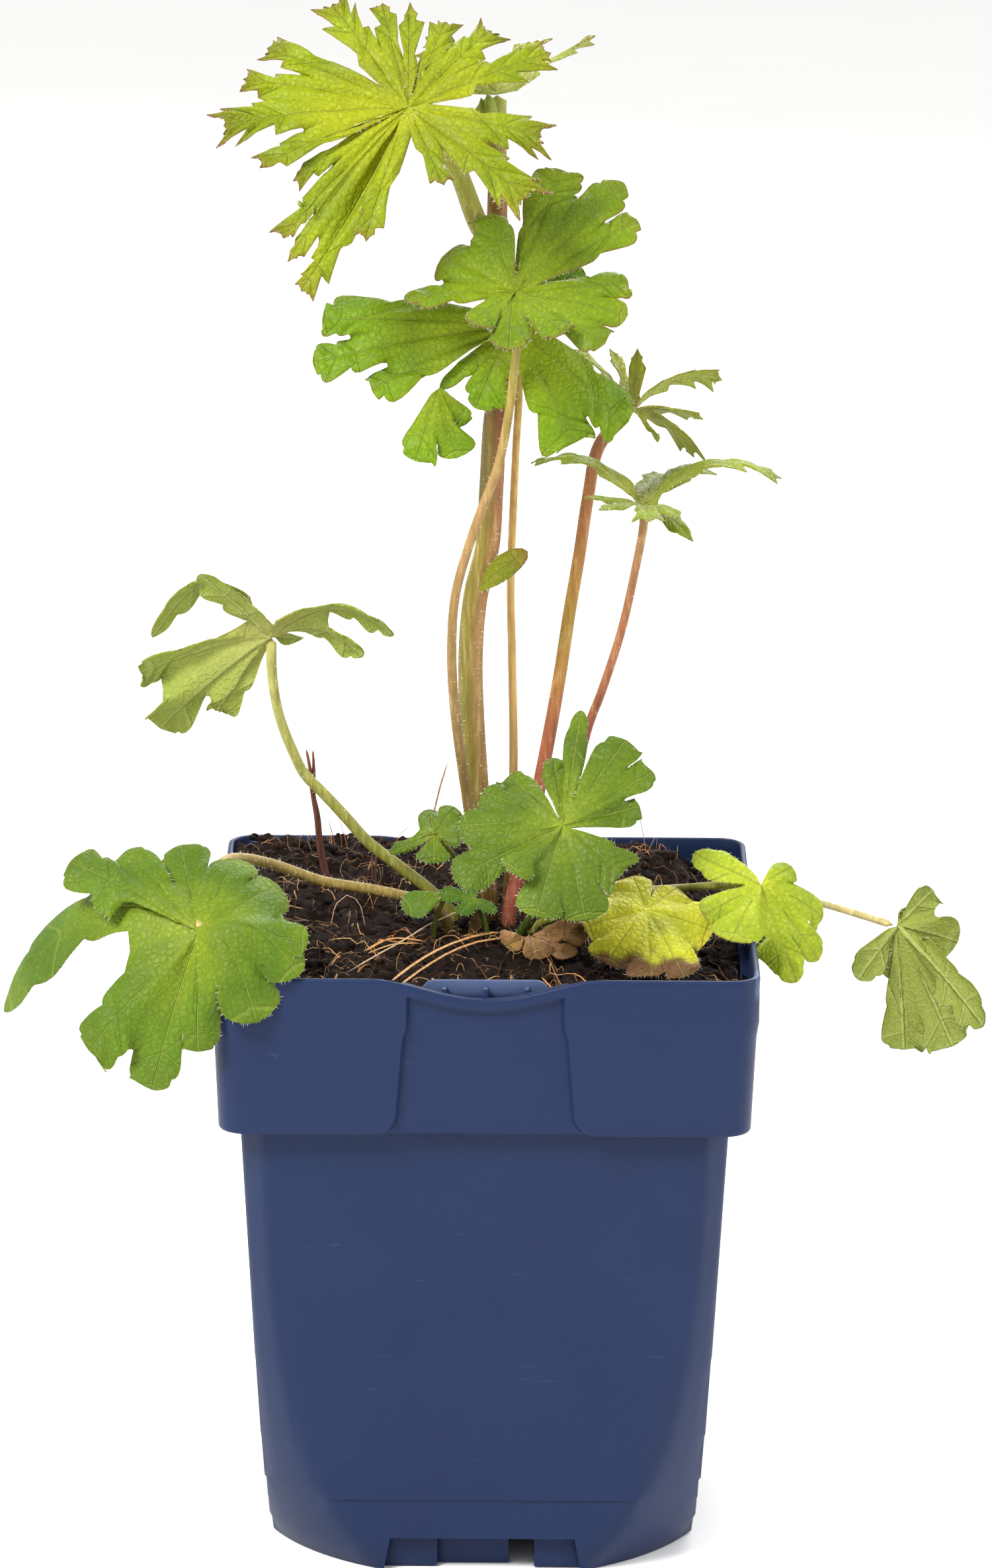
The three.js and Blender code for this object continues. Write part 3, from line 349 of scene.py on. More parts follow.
# The inside, down to the floor.
rings += [pot_ring('collar', WALL, z, recess=1, grow=WALL) for z in (132, SHOULDER + WALL)]
rings += [pot_ring('body', WALL, z) for z in (SHOULDER + WALL, 110, 70, 30, FLOOR_TOP + 0.8)]
rings += [pot_ring('body', WALL + 0.8, FLOOR_TOP)]
under, floor = rings_to_skin(pot, rings)
plates = []
for ring, height in ((under, FLOOR_UNDER), (floor, FLOOR_TOP)):
    holes = []
    for x in (-DRAIN_PLACE, DRAIN_PLACE):
        for y in (-DRAIN_PLACE, DRAIN_PLACE):
            spot = Matrix.Translation(Vector((x, y, height)) * MM)
            hole = bmesh.ops.create_circle(pot, segments=16, radius=DRAIN_RADIUS * MM, matrix=spot)
            holes.append(hole['verts'])
    edges = [edge for loop in [ring] + holes for edge in loop_edges(loop)]
    bmesh.ops.triangle_fill(pot, use_beauty=True, edges=edges)
    plates.append(holes)
for low, high in zip(*plates):
    bmesh.ops.bridge_loops(pot, edges=loop_edges(low) + loop_edges(high))
bmesh.ops.remove_doubles(pot, verts=pot.verts, dist=0.004 * MM)
bmesh.ops.dissolve_degenerate(pot, dist=0.004 * MM, edges=pot.edges)

tab_low = (-TAB_HALF, TAB_Y - TAB_THICK / 2, TAB_FOOT)
tab_high = (TAB_HALF, TAB_Y + TAB_THICK / 2, TAB_TOP)
tab = bmesh.ops.create_cube(pot, size=1, matrix=block_place(tab_low, tab_high))['verts']
top_edges = {e for v in tab for e in v.link_edges if all(p.co.z > (TAB_TOP - 1) * MM for p in e.verts)}
corners = [e for e in top_edges if abs(e.verts[0].co.y - e.verts[1].co.y) > TAB_THICK * MM / 2]
made = soften(pot, corners, TAB_CORNER, 7)
edges = {e for v in [*tab, *made['verts']] if v.is_valid for e in v.link_edges}
soften(pot, [e for e in edges if e.calc_face_angle(0) > math.radians(45)], 0.3, 2)
for x in TAB_RIBS:
    low = (x - TAB_RIB_HALF, TAB_Y - TAB_RIB_REACH, TAB_FOOT)
    rounded_block(pot, low, (x + TAB_RIB_HALF, TAB_Y, TAB_TOP - 1.2), 0.2)
for side in range(4):
    for low, high in FOOT_RIBS:
        rounded_block(pot, (*low, FOOT_RIB_BOTTOM), (*high, FLOOR_UNDER + 0.3), turn=math.pi / 2 * side)
bmesh.ops.recalc_face_normals(pot, faces=pot.faces)

plastic = Finish('blue_pot_plastic', Roughness=0.42, IOR=1.5, Specular_IOR_Level=0.16)
cloud = plastic.noise(28, 3)
scuffs = plastic.ease(plastic.noise(3, 5, (1, 1, 5), 0.7), 0.58, 0.72)
scratches = plastic.ease(plastic.noise(1.2, 3, (0.12, 1, 1.1), 0.6), 0.66, 0.74)
scratches = scratches * plastic.ease(plastic.noise(18, 2), 0.45, 0.62)
dust = plastic.ease(plastic.noise(0.5, 2), 0.68, 0.78)
colour = plastic.blend(cloud, paint('142140'), paint('192848'))
colour = plastic.blend(scuffs * 0.12, colour, paint('3a4a72'))
colour = plastic.blend(scratches * 0.07 + dust * 0.06, colour, paint('7b87a8'))
# Painted light: the top of the label tab, inside the front rim and before the peat, is painted a lighter
# blue, as where the light falls on it.
spot = plastic.node('ShaderNodeSeparateXYZ', {}, {0: plastic.place()})
near_top = plastic.ease(spot.out('Z'), (TAB_TOP - 4.4) * MM, (TAB_TOP - 2.1) * MM)
inside_rim = plastic.ease(spot.out('Y'), (TAB_Y - 3.4) * MM, (TAB_Y - 2.6) * MM)
before_peat = plastic.ease(spot.out('Y'), (TAB_Y + 4) * MM, (TAB_Y + 2) * MM)
colour = plastic.blend(near_top * inside_rim * before_peat * 0.7, colour, paint('4a5878'))
grain = plastic.noise(0.35, 2)
shape = plastic.relief(grain + cloud * 3 - scratches * 0.6, 0.05)
gloss = cloud * 0.12 + scuffs * 0.12 + scratches * 0.2 + 0.36
pot_plastic = plastic.coat(Base_Color=colour, Roughness=gloss, Normal=shape)
piece_from(pot, 'nursery_pot', [pot_plastic], ['pot'])

# The peat filling: dark brown, fibrous and crumbly, poured into the pot and heaped up against its
# back wall. It is one block under a rough surface, with loose crumbs lying on top, and it stays low
# in the trough between the label tab and the rim.
SOIL_Z = 133.8
PEAT_SLOPE = 0.045
PEAT_HALF = 57.0
PEAT_EDGE_Z = 133.0
PEAT_GAP = 0.35
PEAT_CORNER = 52.0
PEAT_CORNER_PULL = 0.12 / 34
HEAP = 5.0
CLODS = ((9, 1.1, (0, 0, 0)), (3.6, 1.2, (7, 1, 3)), (1.7, 0.9, (2, 9, 4)), (0.8, 0.45, (5, 5, 1)))
PIT_SIZE = 5.0
PIT_DEPTH = 1.6
PIT_SHIFT = (3, 8, 8)
TROUGH_HALF = 16.0
TROUGH_DEPTH = 8.0
PEAT_WALLS = ((131, 1.0), (SHOULDER + 1.9, 1.0), (SHOULDER - 1, 0.925), (FLOOR_TOP + 0.5, 0.79))
PEAT_CELLS = 190
CRUMBS = 1500


def peat_height(x, y):
    """Height of the peat's surface: its slope and swell, its heap, then clods, crumbs and pits."""
    height = SOIL_Z + PEAT_SLOPE * (y - x) + 1.1 * math.sin(0.11 * x + 0.6) * math.cos(0.09 * y - 0.4)
    height -= 0.12 * max(abs(x) - 50, abs(y) - 50, 0)
    height += (HEAP + 0.03 * x) * smoothstep(5, 50, y) * (1 - smoothstep(38, 52, x))
    spot = Vector((x, y, 0))
    for size, rise, shift in CLODS:
        height += noise.noise(spot / size + Vector(shift)) * rise
    height -= smoothstep(0.15, 0.55, noise.noise(spot / PIT_SIZE + Vector(PIT_SHIFT))) * PIT_DEPTH
    in_trough = 1 - smoothstep(TROUGH_HALF - 1.5, TROUGH_HALF, abs(x))
    in_trough *= 1 - smoothstep(TAB_Y - 0.2, TAB_Y + 0.8, y)
    return height - TROUGH_DEPTH * in_trough


def room_half(across):
    """Half the room inside the collar, which the recessed panels make narrower in the middle."""
    panel = RECESS_DEPTH * (1 - smoothstep(17, 20, abs(across)))
    return collar_half(PEAT_EDGE_Z) - WALL - PEAT_GAP - panel


def new_growth():
    """A mesh whose corners carry a colour, tint, and their place among the veins, veins."""
    bm = bmesh.new()
    bm.verts.layers.float_color.new('tint')
    bm.verts.layers.float_vector.new('veins')
    return bm


def copies_of(bm, first, count):
    """Copies of a small shape, each as the list of its vertices, made by doubling their number."""
    copies = [first]
    while len(copies) < count:
        source = copies[:count - len(copies)]
        verts = [v for one in source for v in one]
        edges = list({e for v in verts for e in v.link_edges})
        faces = list({f for v in verts for f in v.link_faces})
        twins = bmesh.ops.duplicate(bm, geom=verts + edges + faces)['vert_map']
        copies += [[twins[v] for v in one] for one in source]
    return copies


peat = new_growth()
tint = peat.verts.layers.float_color['tint']
chance = random.Random(3)
surface = bmesh.ops.create_grid(peat, x_segments=PEAT_CELLS, y_segments=PEAT_CELLS, size=1)['verts']
for vert in surface:
    x, y = vert.co.x, vert.co.y
    wide, deep = room_half(y * PEAT_HALF), room_half(x * PEAT_HALF)
    in_corner = max(abs(x) * wide - PEAT_CORNER, 0) * max(abs(y) * deep - PEAT_CORNER, 0)
    pull = 1 - PEAT_CORNER_PULL * in_corner
    x, y = x * wide * pull, y * deep * pull
    vert.co = Vector((x, y, peat_height(x, y))) * MM
edges = [e for e in peat.edges if e.is_boundary]
for height, share in PEAT_WALLS:
    walls = bmesh.ops.extrude_edge_only(peat, edges=edges)['geom']
    edges = [g for g in walls if isinstance(g, bmesh.types.BMEdge) and g.is_boundary]
    lowered = list({v for e in edges for v in e.verts})
    for vert in lowered:
        vert.co.z = height * MM
    bmesh.ops.scale(peat, vec=(share, share, 1), verts=lowered)
bmesh.ops.contextual_create(peat, geom=edges)
bmesh.ops.recalc_face_normals(peat, faces=peat.faces)
for vert in peat.verts:
    vert[tint] = paint('2b1c12')
ball = bmesh.ops.create_icosphere(peat, subdivisions=1, radius=1)['verts']
shape = [v.co.copy() for v in ball]
browns = [paint(code) for code in ('2a1a10', '3a2415', '1d130c', '4a2f1c', '5c3c22', '241a14', '6a4a2c')]
for one in copies_of(peat, ball, CRUMBS):
    x, y = chance.uniform(-PEAT_HALF, PEAT_HALF), chance.uniform(-PEAT_HALF, PEAT_HALF)
    if y < TAB_Y + 2 and abs(x) < TROUGH_HALF:
        y += 8
    size = min(0.35 + chance.expovariate(2.6), 1.9)
    spin = Matrix.Rotation(chance.uniform(0, 6.28), 3, 'Z')
    lean = Matrix.Rotation(chance.uniform(-0.6, 0.6), 3, 'X')
    squash = Matrix.Diagonal((size * chance.uniform(0.7, 1.6), size, size * chance.uniform(0.5, 0.9)))
    foot = Vector((x, y, peat_height(x, y) + size * 0.15))
    shade = chance.choice(browns)
    for vert, corner in zip(one, shape):
        vert.co = (foot + spin @ lean @ squash @ corner * chance.uniform(0.75, 1.2)) * MM
        vert[tint] = shade

earth = Finish('fibrous_peat', Roughness=0.95, Specular_IOR_Level=0.15)
crumb = earth.noise(0.7, 4, rough=0.7)
clod = earth.noise(5, 3)
threads = earth.ease(earth.noise(0.5, 3, (1, 0.14, 0.5), 0.7), 0.6, 0.72)
threads = threads + earth.ease(earth.noise(0.5, 3, (0.13, 1, 0.5), 0.7), 0.62, 0.74)
moss = earth.ease(earth.noise(1.6, 3), 0.68, 0.74) * earth.ease(earth.noise(24, 1), 0.55, 0.65)
lit = earth.blend(0.8, earth.own('tint'), paint('ac957e'), 'MULTIPLY')
colour = earth.blend(earth.ease(crumb, 0.42, 0.66), paint('160c07'), lit)
colour = earth.blend(earth.ease(clod, 0.5, 0.75, 0.0, 0.35), colour, paint('2e1b10'))
colour = earth.blend(threads * 0.55, colour, paint('6e4a2a'))
colour = earth.blend(moss * 0.35, colour, paint('38440f'))
rough_face = earth.relief(crumb + threads * 0.6, 1.1)
peat_earth = earth.coat(Base_Color=colour, Roughness=crumb * 0.3 + 0.68, Normal=rough_face)
piece_from(peat, 'peat_filling', [peat_earth], ['soil'], sharp=60)

# Straws, roots and coir in the peat: loose dry fibres, from a hair to a straw thick, orange tan,
# brown or pale. Most lie on the surface, some stand in it, and a few long ones lie before the crown.
# The lists give the path, thickness and colour of each fibre that the photograph shows.
FIBRE_POINTS = 9
FIBRES = 950
STANDING_FIBRES = 90
FIBRE_ROOM = 56.0
FIBRE_FRONT = -52.5
DRY_COLOURS = ('a8743c', 'c08a4c', '7a5230', '5a3a22', 'b98f5c', '8f6238', '462c1a', 'd0a872')
LYING = [
    ([(-21.9, -42.2, 0.5), (-15.3, -28.2, 1.8), (-8.1, -13.9, 2.2), (-1.2, -5.7, 1.6), (5.7, 0.7, 0.4)],
     0.312, 'c8985e'),
    ([(-20.2, -45.1, 0.3), (-13.8, -31.6, 1.6), (-6.1, -16.9, 1.8), (0.7, -8.4, 1.5), (8.2, -3.7, 0.5)],
     0.288, 'c08c54'),
    ([(-30.8, -32.9, 0.4), (-24.2, -23.1, 1.5), (-18, -11.5, 2.4), (-13.6, -3.4, 3.0), (-10.2, 1.9, 3.6),
      (-6.3, 4.4, 4.4), (-1.3, 7.1, 5.6), (3.4, 8.7, 5.8)], 0.216, 'b09470'),
    ([(-27.3, -15.6, 0.4), (-21, -8.3, 1.2), (-13.3, -7.8, 0.6)], 0.3, 'c08a48'),
    ([(-26.6, -17.3, 0.2), (-20.5, -10.8, 0.9), (-14.6, -8.6, 0.4)], 0.18, 'd0a060'),
    ([(-35.2, 2.8, 0), (-33.8, 8.8, 4), (-31.1, 9.4, 6), (-28.8, 8.8, 4.6), (-27.3, 4.6, 0)], 0.12, 'c9a07a'),
    ([(-11.8, -18.4, 0), (-10.9, -9.5, 1.8), (-7.2, -5.9, 2), (-3.7, -13.8, 0)], 0.096, 'c08a50'),
    ([(-12.3, -35.1, 0.2), (-11.6, -38.5, 0.9), (-10.8, -41.9, 0.2)], 0.252, 'c48c44'),
    ([(-25.4, -24.9, 0.2), (-26.9, -28.5, 0.8), (-28.4, -32, 0.2)], 0.24, 'b07c40'),
    ([(12.3, -30.2, 0.2), (14.4, -40.5, 0.9), (16.8, -49, 0.2)], 0.204, 'b4763c'),
    ([(-2.1, -36.6, 0.2), (0.1, -38.2, 1), (1.8, -35.6, 1.4), (3.2, -30.4, 0.2)], 0.12, 'b0884c'),
    ([(10.4, -14.7, 0.4), (12, -13.2, 1), (13.6, -11.6, 0.6)], 0.132, 'd0a878'),
    ([(12.6, -14.3, 0.4), (14, -21.4, 1.2), (15.4, -30.1, 1), (16.8, -37.9, 0.2)], 0.096, 'a8743c'),
    ([(-37.6, -13.7, 0.2), (-35.7, -12.8, 1), (-33.6, -18.9, 1), (-32, -22.4, 0)], 0.12, 'b88850'),
    ([(-33.8, -20.7, 0.2), (-33, -18.5, 0.9), (-32.4, -16.2, 0.4)], 0.156, 'a8703c'),
    ([(-37.1, -33.9, 0.2), (-36.2, -36, 0.8), (-35.3, -38.2, 0.2)], 0.156, 'b4803e'),
    ([(-32.6, -32.6, 0.2), (-32.9, -36, 0.9), (-33.1, -40.4, 0.2)], 0.204, 'c08444'),
    ([(-21.7, 2.4, 0.4), (-18.2, -1.1, 1.2), (-15.7, -4.7, 0.4)], 0.156, '9a5c34'),
]
STANDING = [
    ([(-17.6, 44, 135.5), (-14, 44, 143.5), (-12.3, 44, 150.8), (-10.6, 44, 158.2), (-8.8, 44, 163.9)],
     0.26, 'b08a66'),
    ([(37.6, 50, 134), (36.3, 50, 143.2), (34.8, 50, 150.4)], 0.13, 'b06a50'),
    ([(-25.4, 20, 131), (-25.3, 20.5, 141), (-25.2, 21, 148.5)], 0.3, '5a3020'),
    ([(-26, 30, 131), (-26.2, 30, 140.5), (-26.2, 30, 145.5)], 0.24, '6a3a28'),
    ([(-33.6, 48, 136), (-35.4, 49, 143), (-36.8, 50, 147.8)], 0.12, '7a4a30'),
    ([(-31, 48, 136), (-33, 49, 144), (-34.4, 50, 148.6)], 0.1, '8a5a3c'),
    ([(-42, 46, 136), (-46.5, 46, 144), (-44, 45, 150), (-48.5, 45, 156), (-52, 45, 161)], 0.055, 'b8a68c'),
    ([(-38, 48, 136), (-41.5, 48, 143), (-40.5, 47, 149), (-44.5, 46, 153)], 0.05, 'c0b098'),
    ([(31, 50, 134), (28.5, 50, 141), (30, 50, 147), (27.5, 50, 151)], 0.05, 'a88a70'),
]


def smooth_path(points, spacing):
    """Points at an even spacing on a smooth curve through the given ones, all in millimetres."""
    spots = [Vector(p) for p in points]
    spots = [2 * spots[0] - spots[1], *spots, 2 * spots[-1] - spots[-2]]
    path = []
    for before, start, end, after in zip(spots, spots[1:], spots[2:], spots[3:]):
        pairs = ((before, start), (start, end), (end, after))
        a, b, c = (max((q - p).length, 1e-6) ** 0.5 for p, q in pairs)
        leave = ((start - before) / a - (end - before) / (a + b) + (end - start) / b) * b
        arrive = ((end - start) / b - (after - start) / (b + c) + (after - end) / c) * b
        count = max(2, round((end - start).length / spacing) + 1)
        path += interpolate_bezier(start, start + leave / 3, end - arrive / 3, end, count)[:-1]
    return path + [spots[-2]]


def lay_fibres(bm, fibres):
    """Closed three-sided threads: one is rolled from a grid and its copies follow their paths."""
    tint = bm.verts.layers.float_color['tint']
    roll = bmesh.ops.create_grid(bm, x_segments=FIBRE_POINTS - 1, y_segments=3, size=1)['verts']
    for vert in roll:
        step, turn = (vert.co.x + 1) / 2 * (FIBRE_POINTS - 1), (vert.co.y + 1) * math.pi
        wide = 0.0 if round(step) in (0, FIBRE_POINTS - 1) else 1.0
        vert.co = Vector((step, math.cos(turn) * wide, math.sin(turn) * wide))
    bmesh.ops.remove_doubles(bm, verts=roll, dist=0.001)
    roll = [v for v in roll if v.is_valid]
    bmesh.ops.recalc_face_normals(bm, faces=list({f for v in roll for f in v.link_faces}))
    shape = [v.co.copy() for v in roll]
    for one, (path, radius, colour) in zip(copies_of(bm, roll, len(fibres)), fibres):
        for vert, corner in zip(one, shape):
            step = round(corner.x)
            along = (path[min(step + 1, len(path) - 1)] - path[max(step - 1, 0)]).normalized()
            side = along.cross(Vector((0.1, 0.2, 1))).normalized()
            up = side.cross(along)
            vert.co = (path[step] + (side * corner.y + up * corner.z) * radius) * MM
            vert[tint] = colour


def even_path(points):
    """A smooth path cut into as many points as a fibre has."""
    path = smooth_path(points, 0.3)
    return [path[round(k * (len(path) - 1) / (FIBRE_POINTS - 1))] for k in range(FIBRE_POINTS)]


litter = new_growth()
fibres = []
dry_colours = [paint(code) for code in DRY_COLOURS]
steps = [k / (FIBRE_POINTS - 1) for k in range(FIBRE_POINTS)]
for _ in range(FIBRES):
    x, y, way = chance.uniform(-55, 55), chance.uniform(-52, 55), chance.uniform(0, 2 * math.pi)
    length, bow = min(2 + chance.expovariate(0.22), 17), chance.uniform(-0.35, 0.35)
    lift = chance.choice((0.2, 0.4, 0.8, 2.2))
    path, stride = [], length / (FIBRE_POINTS - 1)
    for t in steps:
        rise = lift * 4 * t * (1 - t) + chance.uniform(-0.1, 0.2)
        path.append(Vector((x, y, peat_height(x, y) - 0.25 + rise)))
        x = min(max(x + math.cos(way) * stride, -FIBRE_ROOM), FIBRE_ROOM)
        y = min(max(y + math.sin(way) * stride, FIBRE_FRONT), FIBRE_ROOM)
        way += bow
    fibres.append((path, 0.04 + 0.13 * chance.random() ** 4, chance.choice(dry_colours)))
for _ in range(STANDING_FIBRES):
    x, y = chance.uniform(-55, 55), chance.choice((chance.uniform(34, 56), chance.uniform(-50, 50)))
    foot, height, way = peat_height(x, y) - 1, chance.uniform(2, 6.5), chance.uniform(0, 2 * math.pi)
    lean, bow = chance.uniform(0.1, 0.9), chance.uniform(-0.5, 0.5)
    path = []
    for t in steps:
        out, turn = lean * height * t * t, way + bow * t
        path.append(Vector((x + out * math.cos(turn), y + out * math.sin(turn), foot + height * t)))
    fibres.append((path, chance.uniform(0.04, 0.1), chance.choice(dry_colours)))
for points, radius, code in LYING:
    path = []
    for x, y, lift in points:
        ground = 0.35 * peat_height(x, y) + 0.65 * (SOIL_Z + 0.6)
        path.append((x, y, ground + lift))
    fibres.append((even_path(path), radius, paint(code)))
for points, radius, code in STANDING:
    fibres.append((even_path(points), radius, paint(code)))
lay_fibres(litter, fibres)
dry = Finish('dry_fibre', Roughness=0.7)
streak = dry.noise(0.8, 4, rough=0.65)
worn = dry.ease(streak, 0.35, 0.6, 0.5, 0.0)
colour = dry.blend(worn, dry.own('tint'), paint('5a4a3c'), 'MULTIPLY')
dry_fibre = dry.coat(Base_Color=colour, Roughness=streak * 0.4 + 0.45, Normal=dry.relief(streak, 0.15))
piece_from(litter, 'straws_and_roots', [dry_fibre], [], sharp=80)

# The upright stem: a hairy, faintly ridged green stalk, flushed pinkish brown on its right side and
# dark red towards the top, with a small bract half way up and the growing point at its head. Its
# two youngest leaves grow straight from it and unfold at the top.
SKIN = 0.38
LOWER, STALK, HAIR = 1, 2, 3
STALK_RIDGES = 5
STALK_TAPER = ((0, 1.25), (0.15, 1.05), (0.85, 0.9), (1, 0.95))
BARE_FOOT = 0.05
HAIR_FOOT = 0.035
HAIR_TIP = 0.004
HAIR_WHITE = paint('e6e8d8')
HOLE_LEVELS = (124.2, 130.2)
STEM_HAIRS = 900
STEM_HAIR_LENGTH = 0.9
BUD_FURROWS = 6
BUD_BULGE = 0.12


def mixed(first, second, share):
    """A colour between two others."""
    return tuple(a + (b - a) * share for a, b in zip(first, second))


def along_stops(stops, share):
    """A colour or size between the stops around a share."""
    for (low, first), (high, second) in zip(stops, stops[1:]):
        if share <= high:
            part = smoothstep(low, high, share)
            if isinstance(first, tuple):
                return mixed(first, second, part)
            return first + (second - first) * part
    return stops[-1][1]


def green(code, flush=0.0):
    """A leaf colour; flush turns the edge of the blade brownish red."""
    red, full, blue, _ = paint(code)
    return (red * 0.74, full * 0.7, blue * 0.3, 1 - flush)


def tone(code):
    """A stalk colour."""
    red, full, blue, _ = paint(code)
    return (red * 0.76, full * 0.7, blue * 0.5, 1)


def toned(stops):
    """The colours along a stalk."""
    return [(share, tone(code)) for share, code in stops]


def grow_stalk(bm, path, radius, colours, sides=10, ridges=0.05, material=STALK, blush=None):
    """A stalk: a ring is extruded from point to point along the path; blush colours its right side."""
    tint = bm.verts.layers.float_color['tint']
    reach = [0.0]
    for start, end in zip(path, path[1:]):
        reach.append(reach[-1] + (end - start).length)
    shares = [r / reach[-1] for r in reach]
    across = Vector((0, 1, 0.01))
    frames = []
    for spot, before, after, share in zip(path, [path[0], *path], [*path[1:], path[-1]], shares):
        along = (after - before).normalized()
        across = (across - along * across.dot(along)).normalized()
        turned = Matrix((along.cross(across), across, along)).transposed().to_4x4()
        width = along_stops(radius, share) * MM
        frames.append(Matrix.Translation(spot * MM) @ turned @ Matrix.Scale(width, 4))
    ring = bmesh.ops.create_circle(bm, segments=sides, radius=1, cap_ends=True)['verts']
    for vert in ring:
        vert.co *= 1 + ridges * math.cos(STALK_RIDGES * math.atan2(vert.co.y, vert.co.x))
    bmesh.ops.transform(bm, matrix=frames[0], verts=ring)
    edges = list({e for v in ring for e in v.link_edges})
    grown = list(ring)
    for k, share in enumerate(shares):
        if k:
            made = bmesh.ops.extrude_edge_only(bm, edges=edges)['geom']
            ring = [g for g in made if isinstance(g, bmesh.types.BMVert)]
            edges = [g for g in made if isinstance(g, bmesh.types.BMEdge)]
            edges = [e for e in edges if all(v in ring for v in e.verts)]
            bmesh.ops.transform(bm, matrix=frames[k] @ frames[k - 1].inverted(), verts=ring)
            grown += ring
        colour, flush = along_stops(colours, share), along_stops(blush or colours, share)
        for vert in ring:
            right = smoothstep(-0.5, 0.7, (vert.co / MM - path[k]).normalized().x)
            vert[tint] = mixed(colour, flush, right)
    bmesh.ops.pointmerge(bm, verts=ring, merge_co=path[-1] * MM)
    faces = list({f for v in grown if v.is_valid for f in v.link_faces})
    bmesh.ops.recalc_face_normals(bm, faces=faces)
    for face in faces:
        face.material_index = material
    return frames


def comb(bm, hairs):
    """Stiff white hairs as slim three-sided cones: one is made, and its copies are set in place."""
    if not hairs:
        return
    tint = bm.verts.layers.float_color['tint']
    cone = bmesh.ops.create_cone(bm, segments=3, cap_ends=False, radius1=HAIR_FOOT * MM,
                                 radius2=HAIR_TIP * MM, depth=MM)['verts']
    for vert in cone:
        vert[tint] = HAIR_WHITE
    for face in {f for v in cone for f in v.link_faces}:
        face.material_index = HAIR
    for one, (spot, way, length) in zip(copies_of(bm, cone, len(hairs)), hairs):
        place = Matrix.Translation((spot + way * length / 2) * MM)
        place @= way.to_track_quat('Z', 'Y').to_matrix().to_4x4()
        for vert in one:
            vert.co = place @ Vector((vert.co.x, vert.co.y, vert.co.z * length))


def stalk_hairs(frames, chance, count, length):
    """Places, directions and lengths of hairs standing out all round a stalk, but not at its foot."""
    hairs = []
    for _ in range(count):
        place = frames[chance.randrange(int(BARE_FOOT * len(frames)), len(frames) - 1)]
        turn = chance.uniform(0, 2 * math.pi)
        out = Vector((math.cos(turn), math.sin(turn), 0))
        lean = Vector((0, 0, chance.uniform(-0.2, 0.4)))
        way = (place.to_3x3() @ (out + lean)).normalized()
        hairs.append((place @ out / MM - way * 0.05, way, length * chance.uniform(0.6, 1.2)))
    return hairs


# How the lobes of a blade are drawn. Each lobe is a row: the way from the blade's centre to the tip
# (three values), half its width, its arch, its twist in degrees, the share joined to the next lobe
# and, where needed, its teeth on each side and its lift. Where lobes part: those that stand more
# than FAR_APART (in radians) apart aren't joined, a join below CUT_APART is cut deeper, one above
# WELL_JOINED reaches further, a free lobe starts near the hub, and a crowded one is kept narrower.
FAR_APART = 2.2
CUT_APART = 0.5
WELL_JOINED = 0.6
JOIN_GAIN = 0.25
FREE_START = 0.14
FREE_TURN = 0.6
CROWDING = 0.7
ROOM_FREE = 0.6
ROOM_POINTED = 0.85
ROOM_BLUNT = 0.95
LEAST_SWELL = 1.1
LEAST_HUB = 0.25
TOOTHLESS, FULL_TEETH = 3, 11
BLUNT_HUB = 5
# The outline: along a lobe each tooth counts as one and its tip as a shorter one, which ends in a
# point or is blunt. The steps are where columns of the grid lie, closer together at the notches.
TIP_TOOTH = 0.75
WIDEST = 0.55
TOOTH_TOP = 0.62
POINT_NECK = 0.2
POINT_WIDTH = 0.62
BLUNT_NECK = 0.35
BLUNT_WIDTH = 0.7
TOOTH_STEPS = (0, 0.05, 0.14, 0.28, 0.45, 0.62, 0.78, 0.9, 0.965)
TIP_STEPS = (0, 0.1, 0.22, 0.38, 0.55, 0.72, 0.86, 0.95, 1)
HUB_STEPS = 7
ACROSS = 7
# The surface: grooves along the veins and cushions between them, waves near the edge, puckers, the
# ragged dried margin, and what is merged, dropped and smoothed where the lobes meet.
RIB_FADE = 1.5
RIM_REACH = 1.3
DRIED_MARGIN = (*paint('6e4a2c')[:3], 0.6)
RAGGED_HEIGHT, RAGGED_SIZE = 2.2, 4
GROOVE_EDGE, CUSHION_EDGE = 0.1, 1.6
QUILT_LEVEL = 0.4
WAVE_SIZE, WAVE_REACH = 9, 6
PUCKER_SIZE, PUCKER_SHARE = 3.2, 0.5
MERGE_WITHIN, SLIVER = 0.03, 0.01
SMOOTH_ROUNDS, SMOOTH_RIM = 3, 0.8
# What a plain leaf is like. The first row is about the outline of its lobes and teeth; the second is
# about relief, then hairs for each millimetre of edge, each step of the stalk, and their length.
PLAIN_LEAF = {
    'pointed': False, 'breadth': 1.0, 'cleft': 0.6, 'taper': 0.5, 'lean': 0.8, 'tip': 2.0, 'tooth_length': 7,
    'quilt': 0.5, 'ruffle': 0.8, 'fringe': 1.1, 'stalk_hair': 4, 'hair_length': 0.7, 'blades': (),
}


def lobe_frame(leaf, row):
    """A lobe's row as named values, with its directions."""
    dx, dy, dz, half, arch, twist, web, teeth, lift = (*row, *(leaf['teeth'], 0)[len(row) - 7:])
    reach = Vector((dx, dy, dz))
    along = reach.normalized()
    up = Vector(leaf['face']).normalized()
    up = (up - along * up.dot(along)).normalized()
    return {'reach': reach, 'along': along, 'up': up, 'length': reach.length, 'half': half, 'web': web,
            'bow': up * arch + Vector((0, 0, lift)), 'twist': math.radians(twist), 'teeth': teeth}


